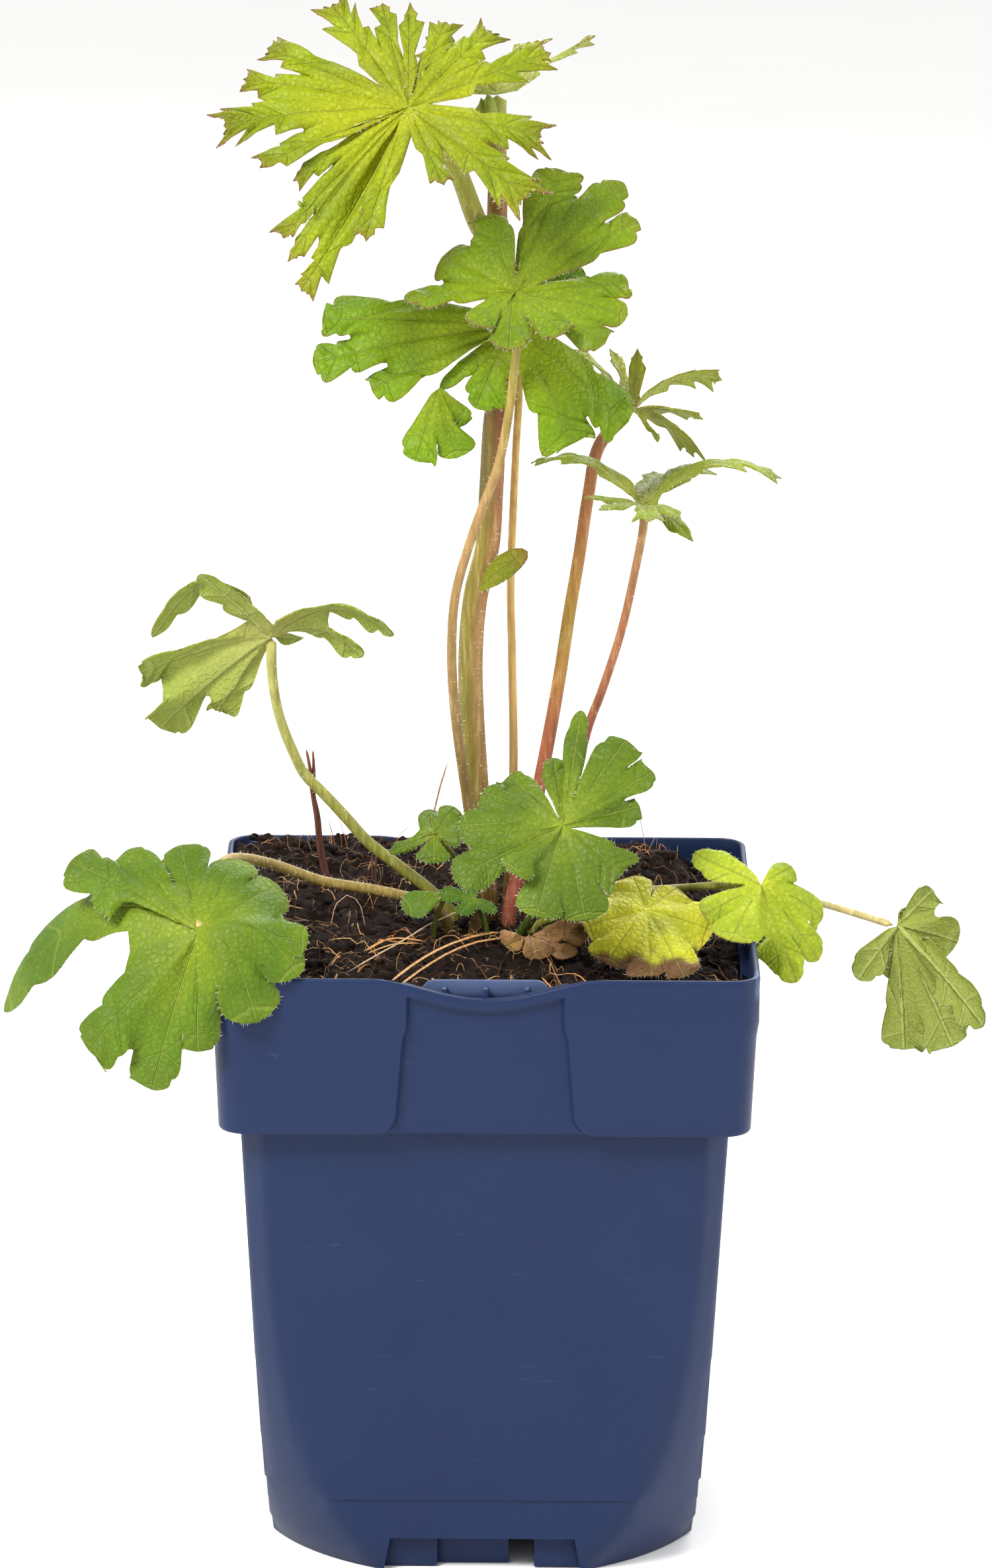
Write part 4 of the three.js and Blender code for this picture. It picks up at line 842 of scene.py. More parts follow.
def on_lobe(leaf, lobe, x, y):
    """A place of the flat lobe carried onto the arched, twisted and curled one."""
    t = x / lobe['length']
    spot = Vector(leaf['centre']) + lobe['reach'] * t + lobe['bow'] * (2 * t * (1 - t))
    tangent = (lobe['reach'] + lobe['bow'] * (2 * (1 - 2 * t))).normalized()
    normal = (lobe['up'] - tangent * lobe['up'].dot(tangent)).normalized()
    side = normal.cross(tangent)
    angle = lobe['twist'] * min(t, 1)
    out = normal * math.cos(angle) - side * math.sin(angle)
    across = side * math.cos(angle) + normal * math.sin(angle)
    share = y / lobe['half']
    return spot + across * y - out * (leaf['curl'] * share * share * min(1, max(2 * t, 0)))


def side_start(leaf, lobe, neighbour, sign):
    """Where a lobe's free edge begins, and whether it is joined to its neighbour up to there."""
    length, spread = lobe['length'], lobe['along'].angle(neighbour['along'])
    web = lobe['web'] if sign > 0 else neighbour['web']
    joined = web > 0 and spread < FAR_APART
    if web < CUT_APART:
        web *= leaf['cleft']
    elif web > WELL_JOINED and not leaf['pointed']:
        web += JOIN_GAIN * (1 - web)
    radius, turn, room = FREE_START * length, FREE_TURN, ROOM_FREE
    if joined:
        radius, turn = web * min(length, neighbour['length']), spread / 2
        room = ROOM_POINTED if leaf['pointed'] else ROOM_BLUNT
    x, y = radius * math.cos(turn), radius * math.sin(turn)
    half = lobe['half'] * leaf['breadth']
    if neighbour is not lobe and spread < FAR_APART and neighbour['length'] > CROWDING * length:
        half = min(half, max(room * length * math.tan(spread / 2), LEAST_SWELL * y))
    return {'x': x, 'y': y, 'radius': radius, 'half': half, 'first': max(LEAST_HUB * x, x - y),
            'neighbour': neighbour if joined else None,
            'depth': leaf['depth'] * smoothstep(TOOTHLESS, FULL_TEETH, length - radius)}


def tip_width(leaf, start, wide, notch, q):
    """Half the width of the last tooth, which ends in a point or is blunt, a share q along it."""
    if leaf['pointed']:
        neck = wide * POINT_WIDTH
        if q < POINT_NECK:
            return notch + (neck - notch) * q / POINT_NECK
        return neck * (1 - ((q - POINT_NECK) / (1 - POINT_NECK)) ** 1.15)
    neck = wide * BLUNT_WIDTH
    if start['depth'] < 0.1:
        neck = max(neck, start['y'] * 0.9)
    if q < BLUNT_NECK:
        return notch + (neck - notch) * math.sin(math.pi / 2 * q / BLUNT_NECK) ** 0.8
    beyond = (q - BLUNT_NECK) / (1 - BLUNT_NECK)
    return neck * max(1 - beyond ** leaf['tip'], 0) ** 0.6


def tooth_side(leaf, share):
    """How far one side of a tooth has risen: in a straight line, or rounded."""
    return share ** 1.15 if leaf['pointed'] else math.sin(math.pi / 2 * share) ** 0.85


def half_width(leaf, teeth, start, u, wild):
    """Half the blade's width where u teeth have passed since the notch beside the neighbour."""
    half, gain = start['half'], start['half'] - start['y']

    def envelope(s):
        """The width without teeth, a share s of the way to the tip."""
        if s < WIDEST:
            return start['y'] + gain * math.sin(math.pi / 2 * s / WIDEST)
        return half * (1 - leaf['taper'] * ((s - WIDEST) / (1 - WIDEST)) ** 1.4)

    total = teeth + TIP_TOOTH
    if teeth == 0:
        s = u / total
        if s < 0.5:
            return start['y'] + gain * math.sin(math.pi * s)
        return half * math.sqrt(max(1 - (2 * s - 1) ** 2, 0))
    cuts = [start['depth'] * w for w in wild]
    k = min(int(u + 1e-6), teeth)
    part = u - k
    if k == teeth:
        wide = envelope(teeth / total)
        return tip_width(leaf, start, wide, wide * (1 - cuts[k]), min(part / TIP_TOOTH, 1))
    wide = envelope(u / total)
    if part >= TOOTH_TOP:
        return wide * (1 - cuts[k + 1] * (1 - tooth_side(leaf, (1 - part) / (1 - TOOTH_TOP))))
    return wide * (1 - cuts[k] * (1 - tooth_side(leaf, part / TOOTH_TOP))) if k else wide


def draw_lobe(bm, leaf, lobe, sides, chance):
    """A lobe: a grid drawn into its outline, from the hub to the tip, with its colours and veins."""
    tint = bm.verts.layers.float_color['tint']
    veins = bm.verts.layers.float_vector['veins']
    centre, length = Vector(leaf['centre']), lobe['length']
    first = max(side['first'] for side in sides.values())
    free = length - min(side['radius'] for side in sides.values())
    least, bare = (1, 0) if leaf['pointed'] else (0, BLUNT_HUB)
    teeth = min(lobe['teeth'], max(round((free - bare) / leaf['tooth_length']), least))
    main = all(length >= side['neighbour']['length'] for side in sides.values() if side['neighbour'])
    steps = [k + part for k in range(teeth) for part in TOOTH_STEPS]
    steps += [teeth + TIP_TOOTH * part for part in TIP_STEPS]
    wild = {sign: [chance.uniform(0.8, 1.2) for _ in range(teeth + 2)] for sign in (1, -1)}
    columns = HUB_STEPS + len(steps) - 1
    grid = bmesh.ops.create_grid(bm, x_segments=columns, y_segments=2 * ACROSS, size=1)['verts']
    for vert in grid:
        column = round((vert.co.x + 1) / 2 * columns)
        sign = 1 if vert.co.y >= 0 else -1
        v = round(abs(vert.co.y) * ACROSS) / ACROSS
        side = sides[sign]
        if column < HUB_STEPS:
            b = column / HUB_STEPS
            middle, x, y, u = b * first, b * side['x'], b * side['y'], 0
            edge = on_lobe(leaf, lobe, x, sign * y)
            if side['neighbour']:
                edge = (edge + on_lobe(leaf, side['neighbour'], x, -sign * y)) / 2
            rim = (1 - v) * y + (1 - b) * side['radius']
            rib = y * v + (0 if main else RIB_FADE * (1 - b) ** 2)
        else:
            u = steps[column - HUB_STEPS]
            s = u / (teeth + TIP_TOOTH)
            middle = first + (length - first) * s
            y = half_width(leaf, teeth, side, u, wild[sign])
            lean = 1 + (leaf['lean'] - 1) * min(3 * s, 1)
            lean *= 1 - max(u - teeth, 0) / TIP_TOOTH
            x = middle + lean * y + (side['x'] - first - side['y']) * (1 - s) ** 2
            edge = on_lobe(leaf, lobe, x, sign * y)
            if column == HUB_STEPS and side['neighbour']:
                edge = (edge + on_lobe(leaf, side['neighbour'], side['x'], -sign * side['y'])) / 2
            rim, rib = (1 - v) * y * RIM_REACH, y * v
        flat = on_lobe(leaf, lobe, middle + (x - middle) * v, sign * y * v)
        full = on_lobe(leaf, lobe, x, sign * y)
        vert.co = (flat + (edge - full) * v * v) * MM
        vert[veins] = (rib, u - TOOTH_TOP, rim)
        vert[tint] = along_stops(leaf['stops'], (vert.co / MM - centre).length / max(length, 1))
        if 'dried' in leaf:
            ragged = vert.co.z / MM + RAGGED_HEIGHT * noise.noise(vert.co / MM / RAGGED_SIZE)
            vert[tint] = mixed(vert[tint], DRIED_MARGIN, smoothstep(*leaf['dried'], ragged))
    return grid


def quilt_blade(leaf, sheet, veins, chance):
    """Raises the blade between its veins, waves its edge and puckers it all over."""
    quilt, ruffle = leaf['quilt'], leaf['ruffle']
    seed = Vector((chance.uniform(-9, 9), chance.uniform(-9, 9), chance.uniform(-9, 9)))
    moved = []
    for vert in sheet:
        rib, u, rim = vert[veins]
        swell = smoothstep(GROOVE_EDGE, CUSHION_EDGE, rib) * (0.5 - 0.5 * math.cos(2 * math.pi * u))
        swell *= smoothstep(-0.1, 1.2, rim + 0.4)
        spot = vert.co / MM
        wave = noise.noise(spot / WAVE_SIZE + seed) * ruffle * smoothstep(WAVE_REACH, 0, rim)
        pucker = noise.noise(spot / PUCKER_SIZE - seed) * quilt * PUCKER_SHARE
        moved.append(vert.co + vert.normal * (quilt * (swell - QUILT_LEVEL) + wave + pucker) * MM)
    for vert, spot in zip(sheet, moved):
        vert.co = spot


def margin_hairs(leaf, sheet, chance):
    """Places, directions and lengths of the hairs along the edge of the blade."""
    hairs = []
    for edge in dict.fromkeys(e for v in sheet for e in v.link_edges if e.is_boundary):
        face = edge.link_faces[0]
        start, end = edge.verts[0].co, edge.verts[1].co
        along = (end - start).normalized()
        out = along.cross(face.normal)
        if out.dot((start + end) / 2 - face.calc_center_median()) < 0:
            out = -out
        expected = edge.calc_length() / MM * leaf['fringe']
        while expected > 0:
            if chance.random() < expected:
                spot = start.lerp(end, chance.random()) / MM
                way = out + along * chance.uniform(-0.5, 0.5) + face.normal * chance.uniform(-0.7, 0.4)
                hairs.append((spot, way.normalized(), chance.uniform(0.35, 0.85)))
            expected -= 1
    return hairs


def grow_blade(bm, leaf, chance):
    """The blade: its lobes merged where they join, quilted, and thickened by a lower skin."""
    veins = bm.verts.layers.float_vector['veins']
    lobes = [lobe_frame(leaf, row) for row in leaf['lobes']]
    sheet = []
    for index, lobe in enumerate(lobes):
        sides = {1: side_start(leaf, lobe, lobes[(index + 1) % len(lobes)], 1),
                 -1: side_start(leaf, lobe, lobes[index - 1], -1)}
        sheet += draw_lobe(bm, leaf, lobe, sides, chance)
    bmesh.ops.remove_doubles(bm, verts=sheet, dist=MERGE_WITHIN * MM)
    sheet = [v for v in sheet if v.is_valid]
    edges = list({e for v in sheet for e in v.link_edges})
    bmesh.ops.dissolve_degenerate(bm, dist=SLIVER * MM, edges=edges)
    sheet, count = [v for v in sheet if v.is_valid], 0
    while len(sheet) != count:
        count = len(sheet)
        sheet = list(dict.fromkeys(p for v in sheet for f in v.link_faces for p in f.verts))
    inner = [v for v in sheet if not v.is_boundary and v[veins].z > SMOOTH_RIM]
    for _ in range(SMOOTH_ROUNDS):
        bmesh.ops.smooth_vert(bm, verts=inner, factor=0.5, use_axis_x=True, use_axis_y=True, use_axis_z=True)
    bm.normal_update()
    quilt_blade(leaf, sheet, veins, chance)
    bm.normal_update()
    hairs = margin_hairs(leaf, sheet, chance)
    normals = {tuple(v.co): v.normal.copy() for v in sheet}
    faces = list({f for v in sheet for f in v.link_faces})
    for part in bmesh.ops.solidify(bm, geom=faces, thickness=0)['geom']:
        if isinstance(part, bmesh.types.BMFace):
            part.material_index = LOWER
        elif isinstance(part, bmesh.types.BMVert):
            part.co -= normals[tuple(part.co)] * SKIN * MM
    return hairs


def grow_leaf(bm, leaf, chance):
    """A whole leaf: stalk, blade and hanging blade ends; the places of its hairs are handed back."""
    leaf, hairs = {**PLAIN_LEAF, **leaf}, []
    if 'greens' in leaf:
        leaf['stops'] = [(share, green(*look)) for share, *look in leaf['greens']]
    if 'stalk' in leaf:
        hole = [(*leaf['foot'], level) for level in HOLE_LEVELS] if 'foot' in leaf else []
        path = smooth_path(hole + leaf['stalk'], 1.6)
        widths = [(share, leaf['stalk_radius'] * part) for share, part in STALK_TAPER]
        frames = grow_stalk(bm, path, widths, toned(leaf['stalk_colours']))
        hairs += stalk_hairs(frames, chance, int(len(path) * leaf['stalk_hair']), leaf['hair_length'])
    for blade in ({}, *leaf['blades']):
        hairs += grow_blade(bm, {**leaf, **blade}, chance)
    return hairs


def vein_marks(skin, wander, rib_edge, side_edge, cell, randomness):
    """The lines of ribs and side veins, the net between them, and how near the edge a place is."""
    parts = skin.node('ShaderNodeSeparateXYZ', {}, {0: skin.own('veins', 'Vector')})
    count = parts.out('Y')
    near = skin.node('ShaderNodeMath', {'operation': 'PINGPONG'}, {0: count + wander, 1: 0.5})
    rib_line = skin.ease(parts.out('X'), *rib_edge, 1.0, 0.0)
    side_line = skin.ease(near, *side_edge, 1.0, 0.0) * skin.ease(count, -0.5, -0.3)
    net = skin.node('ShaderNodeTexVoronoi', {'feature': 'DISTANCE_TO_EDGE'},
                    {'Vector': skin.place(), 'Scale': 1 / (cell * MM), 'Randomness': randomness})
    return rib_line, side_line, net, parts.out('Z')


def upper_skin():
    """The upper side of a leaf: glossy cushions between the veins, painted shade in their creases and in
    broad patches, blotches and a flushed edge.
    """
    upper = Finish('leaf_upper_skin', Roughness=0.5, Specular_IOR_Level=0.2)
    tint = upper.own('tint')
    flush = 1 - tint.out('Alpha')
    wander = (upper.noise(2.2, 2) - 0.5) * 0.12
    rib_line, side_line, net, rim = vein_marks(upper, wander, (0.05, 0.26), (0.01, 0.05), 1.5, 1.0)
    cushion = upper.ease(net, 0.0, 0.3)
    patches = upper.noise(7, 3)
    speckle = upper.noise(0.7, 2)
    # Partly tone that differs at random, partly painted shade: broad patches are darkened as lobes turned
    # from the light look.
    shade = upper.ease(upper.noise(15, 2), 0.36, 0.64, 0.5, 0.0)
    specks = upper.ease(upper.noise(0.8, 1), 0.77, 0.82) * upper.ease(upper.noise(9, 1), 0.55, 0.7)
    colour = upper.blend(upper.ease(patches, 0.3, 0.7, 0.0, 0.315), tint, paint('e6f0a0'), 'MULTIPLY')
    colour = upper.blend(upper.ease(speckle, 0.3, 0.7, 0.3, 0.0), colour, paint('a8b070'), 'MULTIPLY')
    # Painted shade: the colour is darker in the creases between the cushions.
    colour = upper.blend(0.22 - cushion * 0.22, colour, paint('8c9c50'), 'MULTIPLY')
    colour = upper.blend(shade, colour, paint('b4c494'), 'MULTIPLY')
    colour = upper.blend(specks * 0.6, colour, paint('6b5a24'))
    colour = upper.blend(side_line * 0.12 + rib_line * 0.26, colour, paint('a8b050'))
    colour = upper.blend(upper.ease(rim, 0.1, 0.55, 1.0, 0.0) * flush * 0.8, colour, paint('6a3a22'))
    lift = cushion * 0.7 - side_line * 1.3 - rib_line * 1.6 + speckle * 0.2
    dull = patches * 0.16 + 0.46 - cushion * 0.06
    return upper.coat(Base_Color=colour, Roughness=dull, Normal=upper.relief(lift, 0.17))


def lower_skin():
    """The underside: grey-green felt with raised pale veins."""
    lower = Finish('leaf_lower_skin', Roughness=0.62, Specular_IOR_Level=0.2)
    rib_line, side_line, net, _ = vein_marks(lower, 0, (0.15, 0.6), (0.02, 0.1), 1.7, 0.9)
    net = lower.ease(net, 0.02, 0.16, 1.0, 0.0)
    felt = lower.noise(0.3, 3)
    colour = lower.blend(0.45, lower.own('tint'), paint('7e8a40'))
    colour = lower.blend(lower.ease(felt, 0.45, 0.7, 0.0, 0.2), colour, paint('a8b078'))
    colour = lower.blend(net * 0.12 + side_line * 0.25 + rib_line * 0.4, colour, paint('a2aa60'))
    lift = net * 0.5 + side_line + rib_line * 1.4 + felt * 0.3
    return lower.coat(Base_Color=colour, Normal=lower.relief(lift, 0.3))


def stalk_skin():
    """The skin of green stalks, streaked along their length."""
    stalk = Finish('green_stalk', Roughness=0.5, Specular_IOR_Level=0.25)
    streak = stalk.noise(1.1, 4, (1, 1, 0.12), 0.6)
    darker = stalk.ease(streak, 0.35, 0.65, 0.35, 0.0)
    colour = stalk.blend(darker, stalk.own('tint'), paint('5c6224'), 'MULTIPLY')
    colour = stalk.blend(stalk.ease(streak, 0.55, 0.75, 0.0, 0.3), colour, paint('c4bc90'))
    dull = streak * 0.2 + 0.38
    return stalk.coat(Base_Color=colour, Roughness=dull, Normal=stalk.relief(streak, 0.2))


fuzz = Finish('white_hair', Roughness=0.7)
white_hair = fuzz.coat(Base_Color=fuzz.blend(fuzz.noise(4, 1), paint('d9dcc4'), paint('f2f2ea')))
LEAF_SKINS = [upper_skin(), lower_skin(), stalk_skin(), white_hair]
top_leaf = {
    'centre': (-17.9, -14, 324.7), 'face': (0, -1, 1), 'teeth': 4, 'depth': 0.5, 'taper': 0.72, 'curl': 1.2,
    'pointed': True, 'lean': 1.7, 'tooth_length': 6.5, 'breadth': 0.95, 'cleft': 0.45, 'quilt': 1.0,
    'lobes': [
        (8, -16, -14, 3, 1, 0, 0.55, 2), (26, -14, -17, 6.5, 2, 0, 0.65, 3), (29, -4, -5, 6, 2, 0, 0.36, 3),
        (31, 10, 11, 5.5, 2, 0, 0.5, 3), (18, 17, 15, 5, 1, 0, 0.7, 2), (8, 19, 16, 4, 1, 0, 0.25, 2),
        (0, 20, 20, 3.5, 1, 0, 0.3, 2), (-6, 20, 20, 3.5, 1, 0, 0.65, 2), (-17, 20, 20, 6, 1, 0, 0.42, 3),
        (-31, 8, 12, 5, 2, 0, 0.72, 2), (-36, 3, 6, 3.5, 2, 0, 0.8, 2), (-40, -6, -3, 6, 4, 0, 0.66, 3),
        (-32, -12, -11, 4.5, 3, 0, 0.12, 2), (-25, -10, -14, 4, 3, 0, 0.7, 2),
        (-27, -15, -26, 4.5, 4, 0, 0.78, 2), (-26, -16, -31, 3, 5, 0, 0.8, 1),
        (-23, -18, -37, 4.5, 6, 0, 0.66, 3, -7), (-9, -18, -26, 3.2, 4, 0, 0, 2)],
    'greens': [(0, 'b6be30', 0.2), (0.35, 'acb61e', 0.3), (0.8, '9cae0e', 0.5), (1.05, '94962a', 1.0)],
    'stalk_radius': 2.2, 'hair_length': 0.9, 'stalk_hair': 7,
    'stalk': [
        (1.3, 0, 285.2), (0.6, -1, 291.2), (-2.8, -3, 297.5), (-7.5, -8, 310.4), (-12.6, -12, 319),
        (-17.8, -13.4, 324.6)],
    'stalk_colours': [(0, '9a7a44'), (0.3, '98984a'), (0.7, 'a3a83e'), (1, 'b9c24f')],
}
folded_leaf = {
    'centre': (1.3, 14, 323.5), 'face': (-0.6, -0.5, 1), 'teeth': 4, 'depth': 0.45, 'taper': 0.75, 'curl': 1,
    'pointed': True, 'lean': 1.6, 'tooth_length': 6,
    'lobes': [(21, 6, 12, 4.5, 1, -40, 0.5, 3), (7, 16, 9, 5, 1, 0, 0.3, 2), (-16, 8, 11, 5, 2, 0, 0.4, 2)],
    'greens': [(0, 'c9cf9a'), (0.5, 'bcc68a'), (1.05, 'a9b070', 0.6)],
    'stalk_radius': 2.3, 'hair_length': 0.9, 'stalk_hair': 7,
    'stalk': [(1.3, 0, 285.2), (1.3, 0.6, 291.2), (1.5, 3.5, 301.8), (1.4, 8, 312.2), (1.3, 13.6, 323)],
    'stalk_colours': [(0, '8a4a32'), (0.5, '9a7a44'), (1, 'aab45a')],
}
bract = {
    'centre': (-2.8, 2.6, 213.2), 'face': (-0.3, -1, 0.5), 'teeth': 0, 'depth': 0.1, 'curl': -0.8,
    'pointed': True, 'quilt': 0.1, 'ruffle': 0.2, 'lobes': [(11.4, -4.1, 10.2, 2.8, 1.5, 0, 0)],
    'greens': [(0, 'a09c44'), (0.6, '98a032'), (1, 'a89048', 0.8)],
}
stem_points = [
    (0, 9, 124.2), (0, 9, 130.2), (-0.2, 9, 141.2), (-2.2, 8, 165.1), (-3.4, 7, 184.2), (-3.7, 6, 197.8),
    (-2.7, 5, 211.3), (-0.1, 4, 223.3), (0.7, 3, 236.7), (1.3, 2, 249.9), (2.4, 1, 262.5), (1.6, 0, 279.1),
    (1.2, 0, 286)]
stem_widths = [(0, 3.4), (0.1, 2.9), (0.6, 2.7), (1, 2.55)]
stem_left = [
    (0, '725232'), (0.12, '807830'), (0.35, '8a823a'), (0.7, '94863e'), (0.88, '86623a'), (1, '9c6c3a')]
stem_right = [
    (0, '70483a'), (0.15, '98784a'), (0.4, 'b0906a'), (0.65, 'b48464'), (0.85, '9a4a3e'), (1, 'b0703f')]
bud_spot, bud_size = Vector((-1, 9, 317.2)) * MM, (2.6 * MM, 2.6 * MM, 6 * MM, 1)

stem = new_growth()
chance = random.Random(11)
path, colours, blush = smooth_path(stem_points, 1.2), toned(stem_left), toned(stem_right)
frames = grow_stalk(stem, path, stem_widths, colours, sides=20, ridges=0.07, blush=blush)
hairs = stalk_hairs(frames, chance, STEM_HAIRS, STEM_HAIR_LENGTH)
bud_place = Matrix.Translation(bud_spot) @ Matrix.Diagonal(bud_size)
bud = bmesh.ops.create_icosphere(stem, subdivisions=3, radius=1, matrix=bud_place)['verts']
tint = stem.verts.layers.float_color['tint']
for vert in bud:
    out = vert.co - bud_spot
    vert.co += out * BUD_BULGE * math.cos(BUD_FURROWS * math.atan2(out.y, out.x))
    vert[tint] = green('8fa048')
for face in {f for v in bud for f in v.link_faces}:
    face.material_index = STALK
for leaf in (top_leaf, folded_leaf, bract):
    hairs += grow_leaf(stem, leaf, chance)
comb(stem, hairs)
piece_from(stem, 'leafy_stem_with_top_leaves', LEAF_SKINS, ['leafy_stem'], sharp=70)

# The middle leaf: a flat mid-green hand of lobes facing the viewer, with pale veins and a thin
# brownish edge. Its slender stalk, yellow-green below and tan above, rises in front of the stem.
def place_leaf(leaf, node, seed):
    """Grows a leaf, which then stands in place of its plain solid."""
    growth = new_growth()
    comb(growth, grow_leaf(growth, leaf, random.Random(seed)))
    piece_from(growth, node + '_blade', LEAF_SKINS, [node], sharp=70)


leaf_middle = {
    'centre': (5.2, -16, 284.4), 'face': (0, -1, 1.2), 'teeth': 3, 'depth': 0.34, 'curl': 1.2,
    'lobes': [
        (-1, -18, -9, 5, 2, 0, 0.5, 2), (11, -13, -6, 4.5, 2, 0, 0.68, 2), (20, -9, -9, 5, 2, 0, 0.75, 2),
        (25, -2, -4, 4, 2, 0, 0.75, 2), (25, 4, 2, 4, 1, 0, 0.35, 2), (27, 14, 14, 4.5, 1, 0, 0.75, 2),
        (24, 21, 21, 6, 1, 0, 0.75, 2), (10, 25, 23, 6, 1, 0, 0.36, 3), (-5, 9, 16, 4.5, 1, 0, 0.8, 1),
        (-16, 6, 7, 6, 2, 0, 0.8, 2), (-24, -4, 0, 3.5, 2, 15, 0.4, 2), (-9, -14, -4, 4, 2, 0, 0.6, 2)],
    'greens': [(0, '9cae2c', 0.2), (0.3, '8ba41c', 0.4), (0.8, '82a00a', 0.7), (1.05, '8a9c2a', 1.0)],
    'stalk_radius': 1.15, 'foot': (-3.5, 3.5),
    'stalk': [
        (-2, 3, 139.2), (-2.5, 1, 150.7), (-4.2, -1, 164.4), (-7.2, -6, 187.5), (-8, -8, 201.2),
        (-7.3, -9, 214.6), (-4.3, -10, 226.5), (-1.7, -11, 234.5), (2, -12, 244.9), (4.1, -13, 255.7),
        (5.7, -14, 269.6), (6.4, -15.4, 277.2), (5, -15.8, 283.8)],
    'stalk_colours': [(0, '6d5a38'), (0.3, '9c825a'), (0.7, 'b4946c'), (0.9, 'aca05c'), (1, 'b3bd58')],
    'stalk_hair': 3, 'tip': 1.5, 'tooth_length': 6, 'quilt': 0.6,
}
place_leaf(leaf_middle, 'leaf_middle', 21)

# The broad leaf behind it, of a deeper green. The end of one lobe hangs from a narrow neck and
# curls down on its own. Its tan stalk runs up behind the stem.
leaf_middle_back = {
    'centre': (5, -6, 275.3), 'face': (0, -1, 1), 'teeth': 3, 'depth': 0.34, 'curl': 1.4,
    'lobes': [
        (14, -6, -25, 8, 3, 0, 0.85, 2), (25, -1, -22, 7, 4, 0, 0.3, 2), (15, 12, 11, 6, 2, 0, 0, 2),
        (-42, 6, 0, 7.5, 2, 0, 0.8, 2), (-44, 2, -9, 6.5, 3, 0, 0.8, 2), (-31, -3, -14, 5, 3, 0, 0.35, 2),
        (-16, -2, -14, 2.6, 1, 0, 0.4, 1), (-8, -4, -18, 7, 2, 0, 0, 2)],
    'blades': [{
        'centre': (-11.1, -8, 261.6), 'face': (-0.4, -1, 0.2), 'teeth': 1, 'depth': 0.3, 'curl': 0.8,
        'lobes': [
            (-5, -3, -16, 5, 1, 0, 0.7, 1), (4, -4, -15, 5, 1, 0, 0.7, 1), (6, -2, -8, 4, 1, 0, 0, 1)]}],
    'greens': [(0, 'a2b628'), (0.35, '92ac14', 0.2), (0.9, '7ea408', 0.5), (1.1, '84a01a', 0.8)],
    'stalk_radius': 1, 'foot': (4.5, 13.5),
    'stalk': [
        (4.8, 14, 141.2), (5.9, 14, 168.8), (5.4, 14, 195.9), (5, 13, 212.4), (5.4, 10, 229.2),
        (6, 5.5, 246.2), (6.5, 0, 261), (5.3, -5, 272.4), (5, -6, 275.2)],
    'stalk_colours': [(0, 'a08850'), (0.4, 'ecca92'), (0.8, 'e0bc7e'), (1, 'c4b060')],
    'stalk_hair': 3, 'quilt': 0.6,
}
place_leaf(leaf_middle_back, 'leaf_middle_back', 22)

# The leaf at the upper right: seen from behind, its pale hairy underside folds along the lobes.
# The stalk is the thickest one, reddish pink below and tan above.
leaf_right_upper = {
    'centre': (32, 14, 252.5), 'face': (0, 0.6, 1), 'teeth': 3, 'depth': 0.5, 'curl': 1,
    'lobes': [
        (5, -5, -4, 2.6, 1, 0, 0.5, 1), (14, 1, -11, 5, 1, 0, 0, 2, 4), (16, 6, -3, 5, 2, 0, 0, 2),
        (20, 4, 6, 4, 2, -30, 0.3, 3, 6), (1, 9, 12, 2.6, 1, 0, 0.4, 1), (-5, 14, 11, 4.5, 1, 0, 0, 2),
        (-11, 16, 11, 4.5, 1, 0, 0, 2)],
    'greens': [(0, 'cac69c'), (0.4, 'bcc07a'), (0.8, 'b8c058', 0.2), (1.1, 'b0ba40', 0.5)],
    'stalk_radius': 1.6, 'foot': (4.5, 6),
    'stalk': [
        (5.4, 6.4, 139.2), (8.6, 9, 151.2), (12.1, 12, 167.7), (15.9, 15, 188.9), (18.3, 17, 205.2),
        (20.4, 18, 218.2), (22.2, 18, 231.3), (24.6, 17, 243.4), (31, 14.3, 251.6)],
    'stalk_colours': [
        (0, '7a4238'), (0.2, 'b0625a'), (0.4, 'b87058'), (0.6, 'b89850'), (0.8, 'b47c54'), (1, 'a06848')],
    'stalk_hair': 5, 'pointed': True, 'lean': 1.6, 'tooth_length': 5,
}
place_leaf(leaf_right_upper, 'leaf_right_upper', 23)

# The leaf at the right: narrow lobes spread level on a thin reddish stalk that leans out and up,
# so the eye sees its grey-green underside and its long side lobes edge on.
leaf_right_middle = {
    'centre': (34.1, -4, 234.8), 'face': (0, -0.15, 1), 'teeth': 3, 'depth': 0.4, 'curl': 1,
    'lobes': [
        (-13, -10, 4, 2.5, 2, 0, 0.3, 1), (-10, -17, 3, 3, 2, 0, 0.3, 1), (1, -24, 2, 4, 2, 0, 0.4, 2),
        (8, -20, 2, 3, 2, 0, 0.4, 1), (11, -14, -5, 3, 3, 0, 0.3, 1), (31, 6, 5, 5.5, 2, -15, 0.4, 3, 11),
        (13, 20, 5, 5, 3, 0, 0.5, 2), (5, 24, 2, 5, 3, 0, 0.3, 2), (-25, 6, 8, 4.5, 2, 15, 0, 3, 9)],
    'greens': [(0, 'b4b878'), (0.4, 'a0aa54'), (0.8, '98ac34', 0.2), (1.1, '8c9c38', 0.5)],
    'stalk_radius': 1.1, 'foot': (9, 9),
    'stalk': [
        (10, 9.4, 141.2), (17.1, 11, 158.2), (22.9, 10, 181), (25.5, 8, 188.8), (29.7, 5, 203.4),
        (32.7, 1, 218.9), (34.4, -3, 231), (34.1, -3.9, 234.4)],
    'stalk_colours': [(0, '7a4a40'), (0.3, 'a8645a'), (0.7, 'b0765e'), (1, 'b48e68')],
    'stalk_hair': 3, 'pointed': True, 'lean': 1.5, 'tooth_length': 6,
}
place_leaf(leaf_right_middle, 'leaf_right_middle', 24)

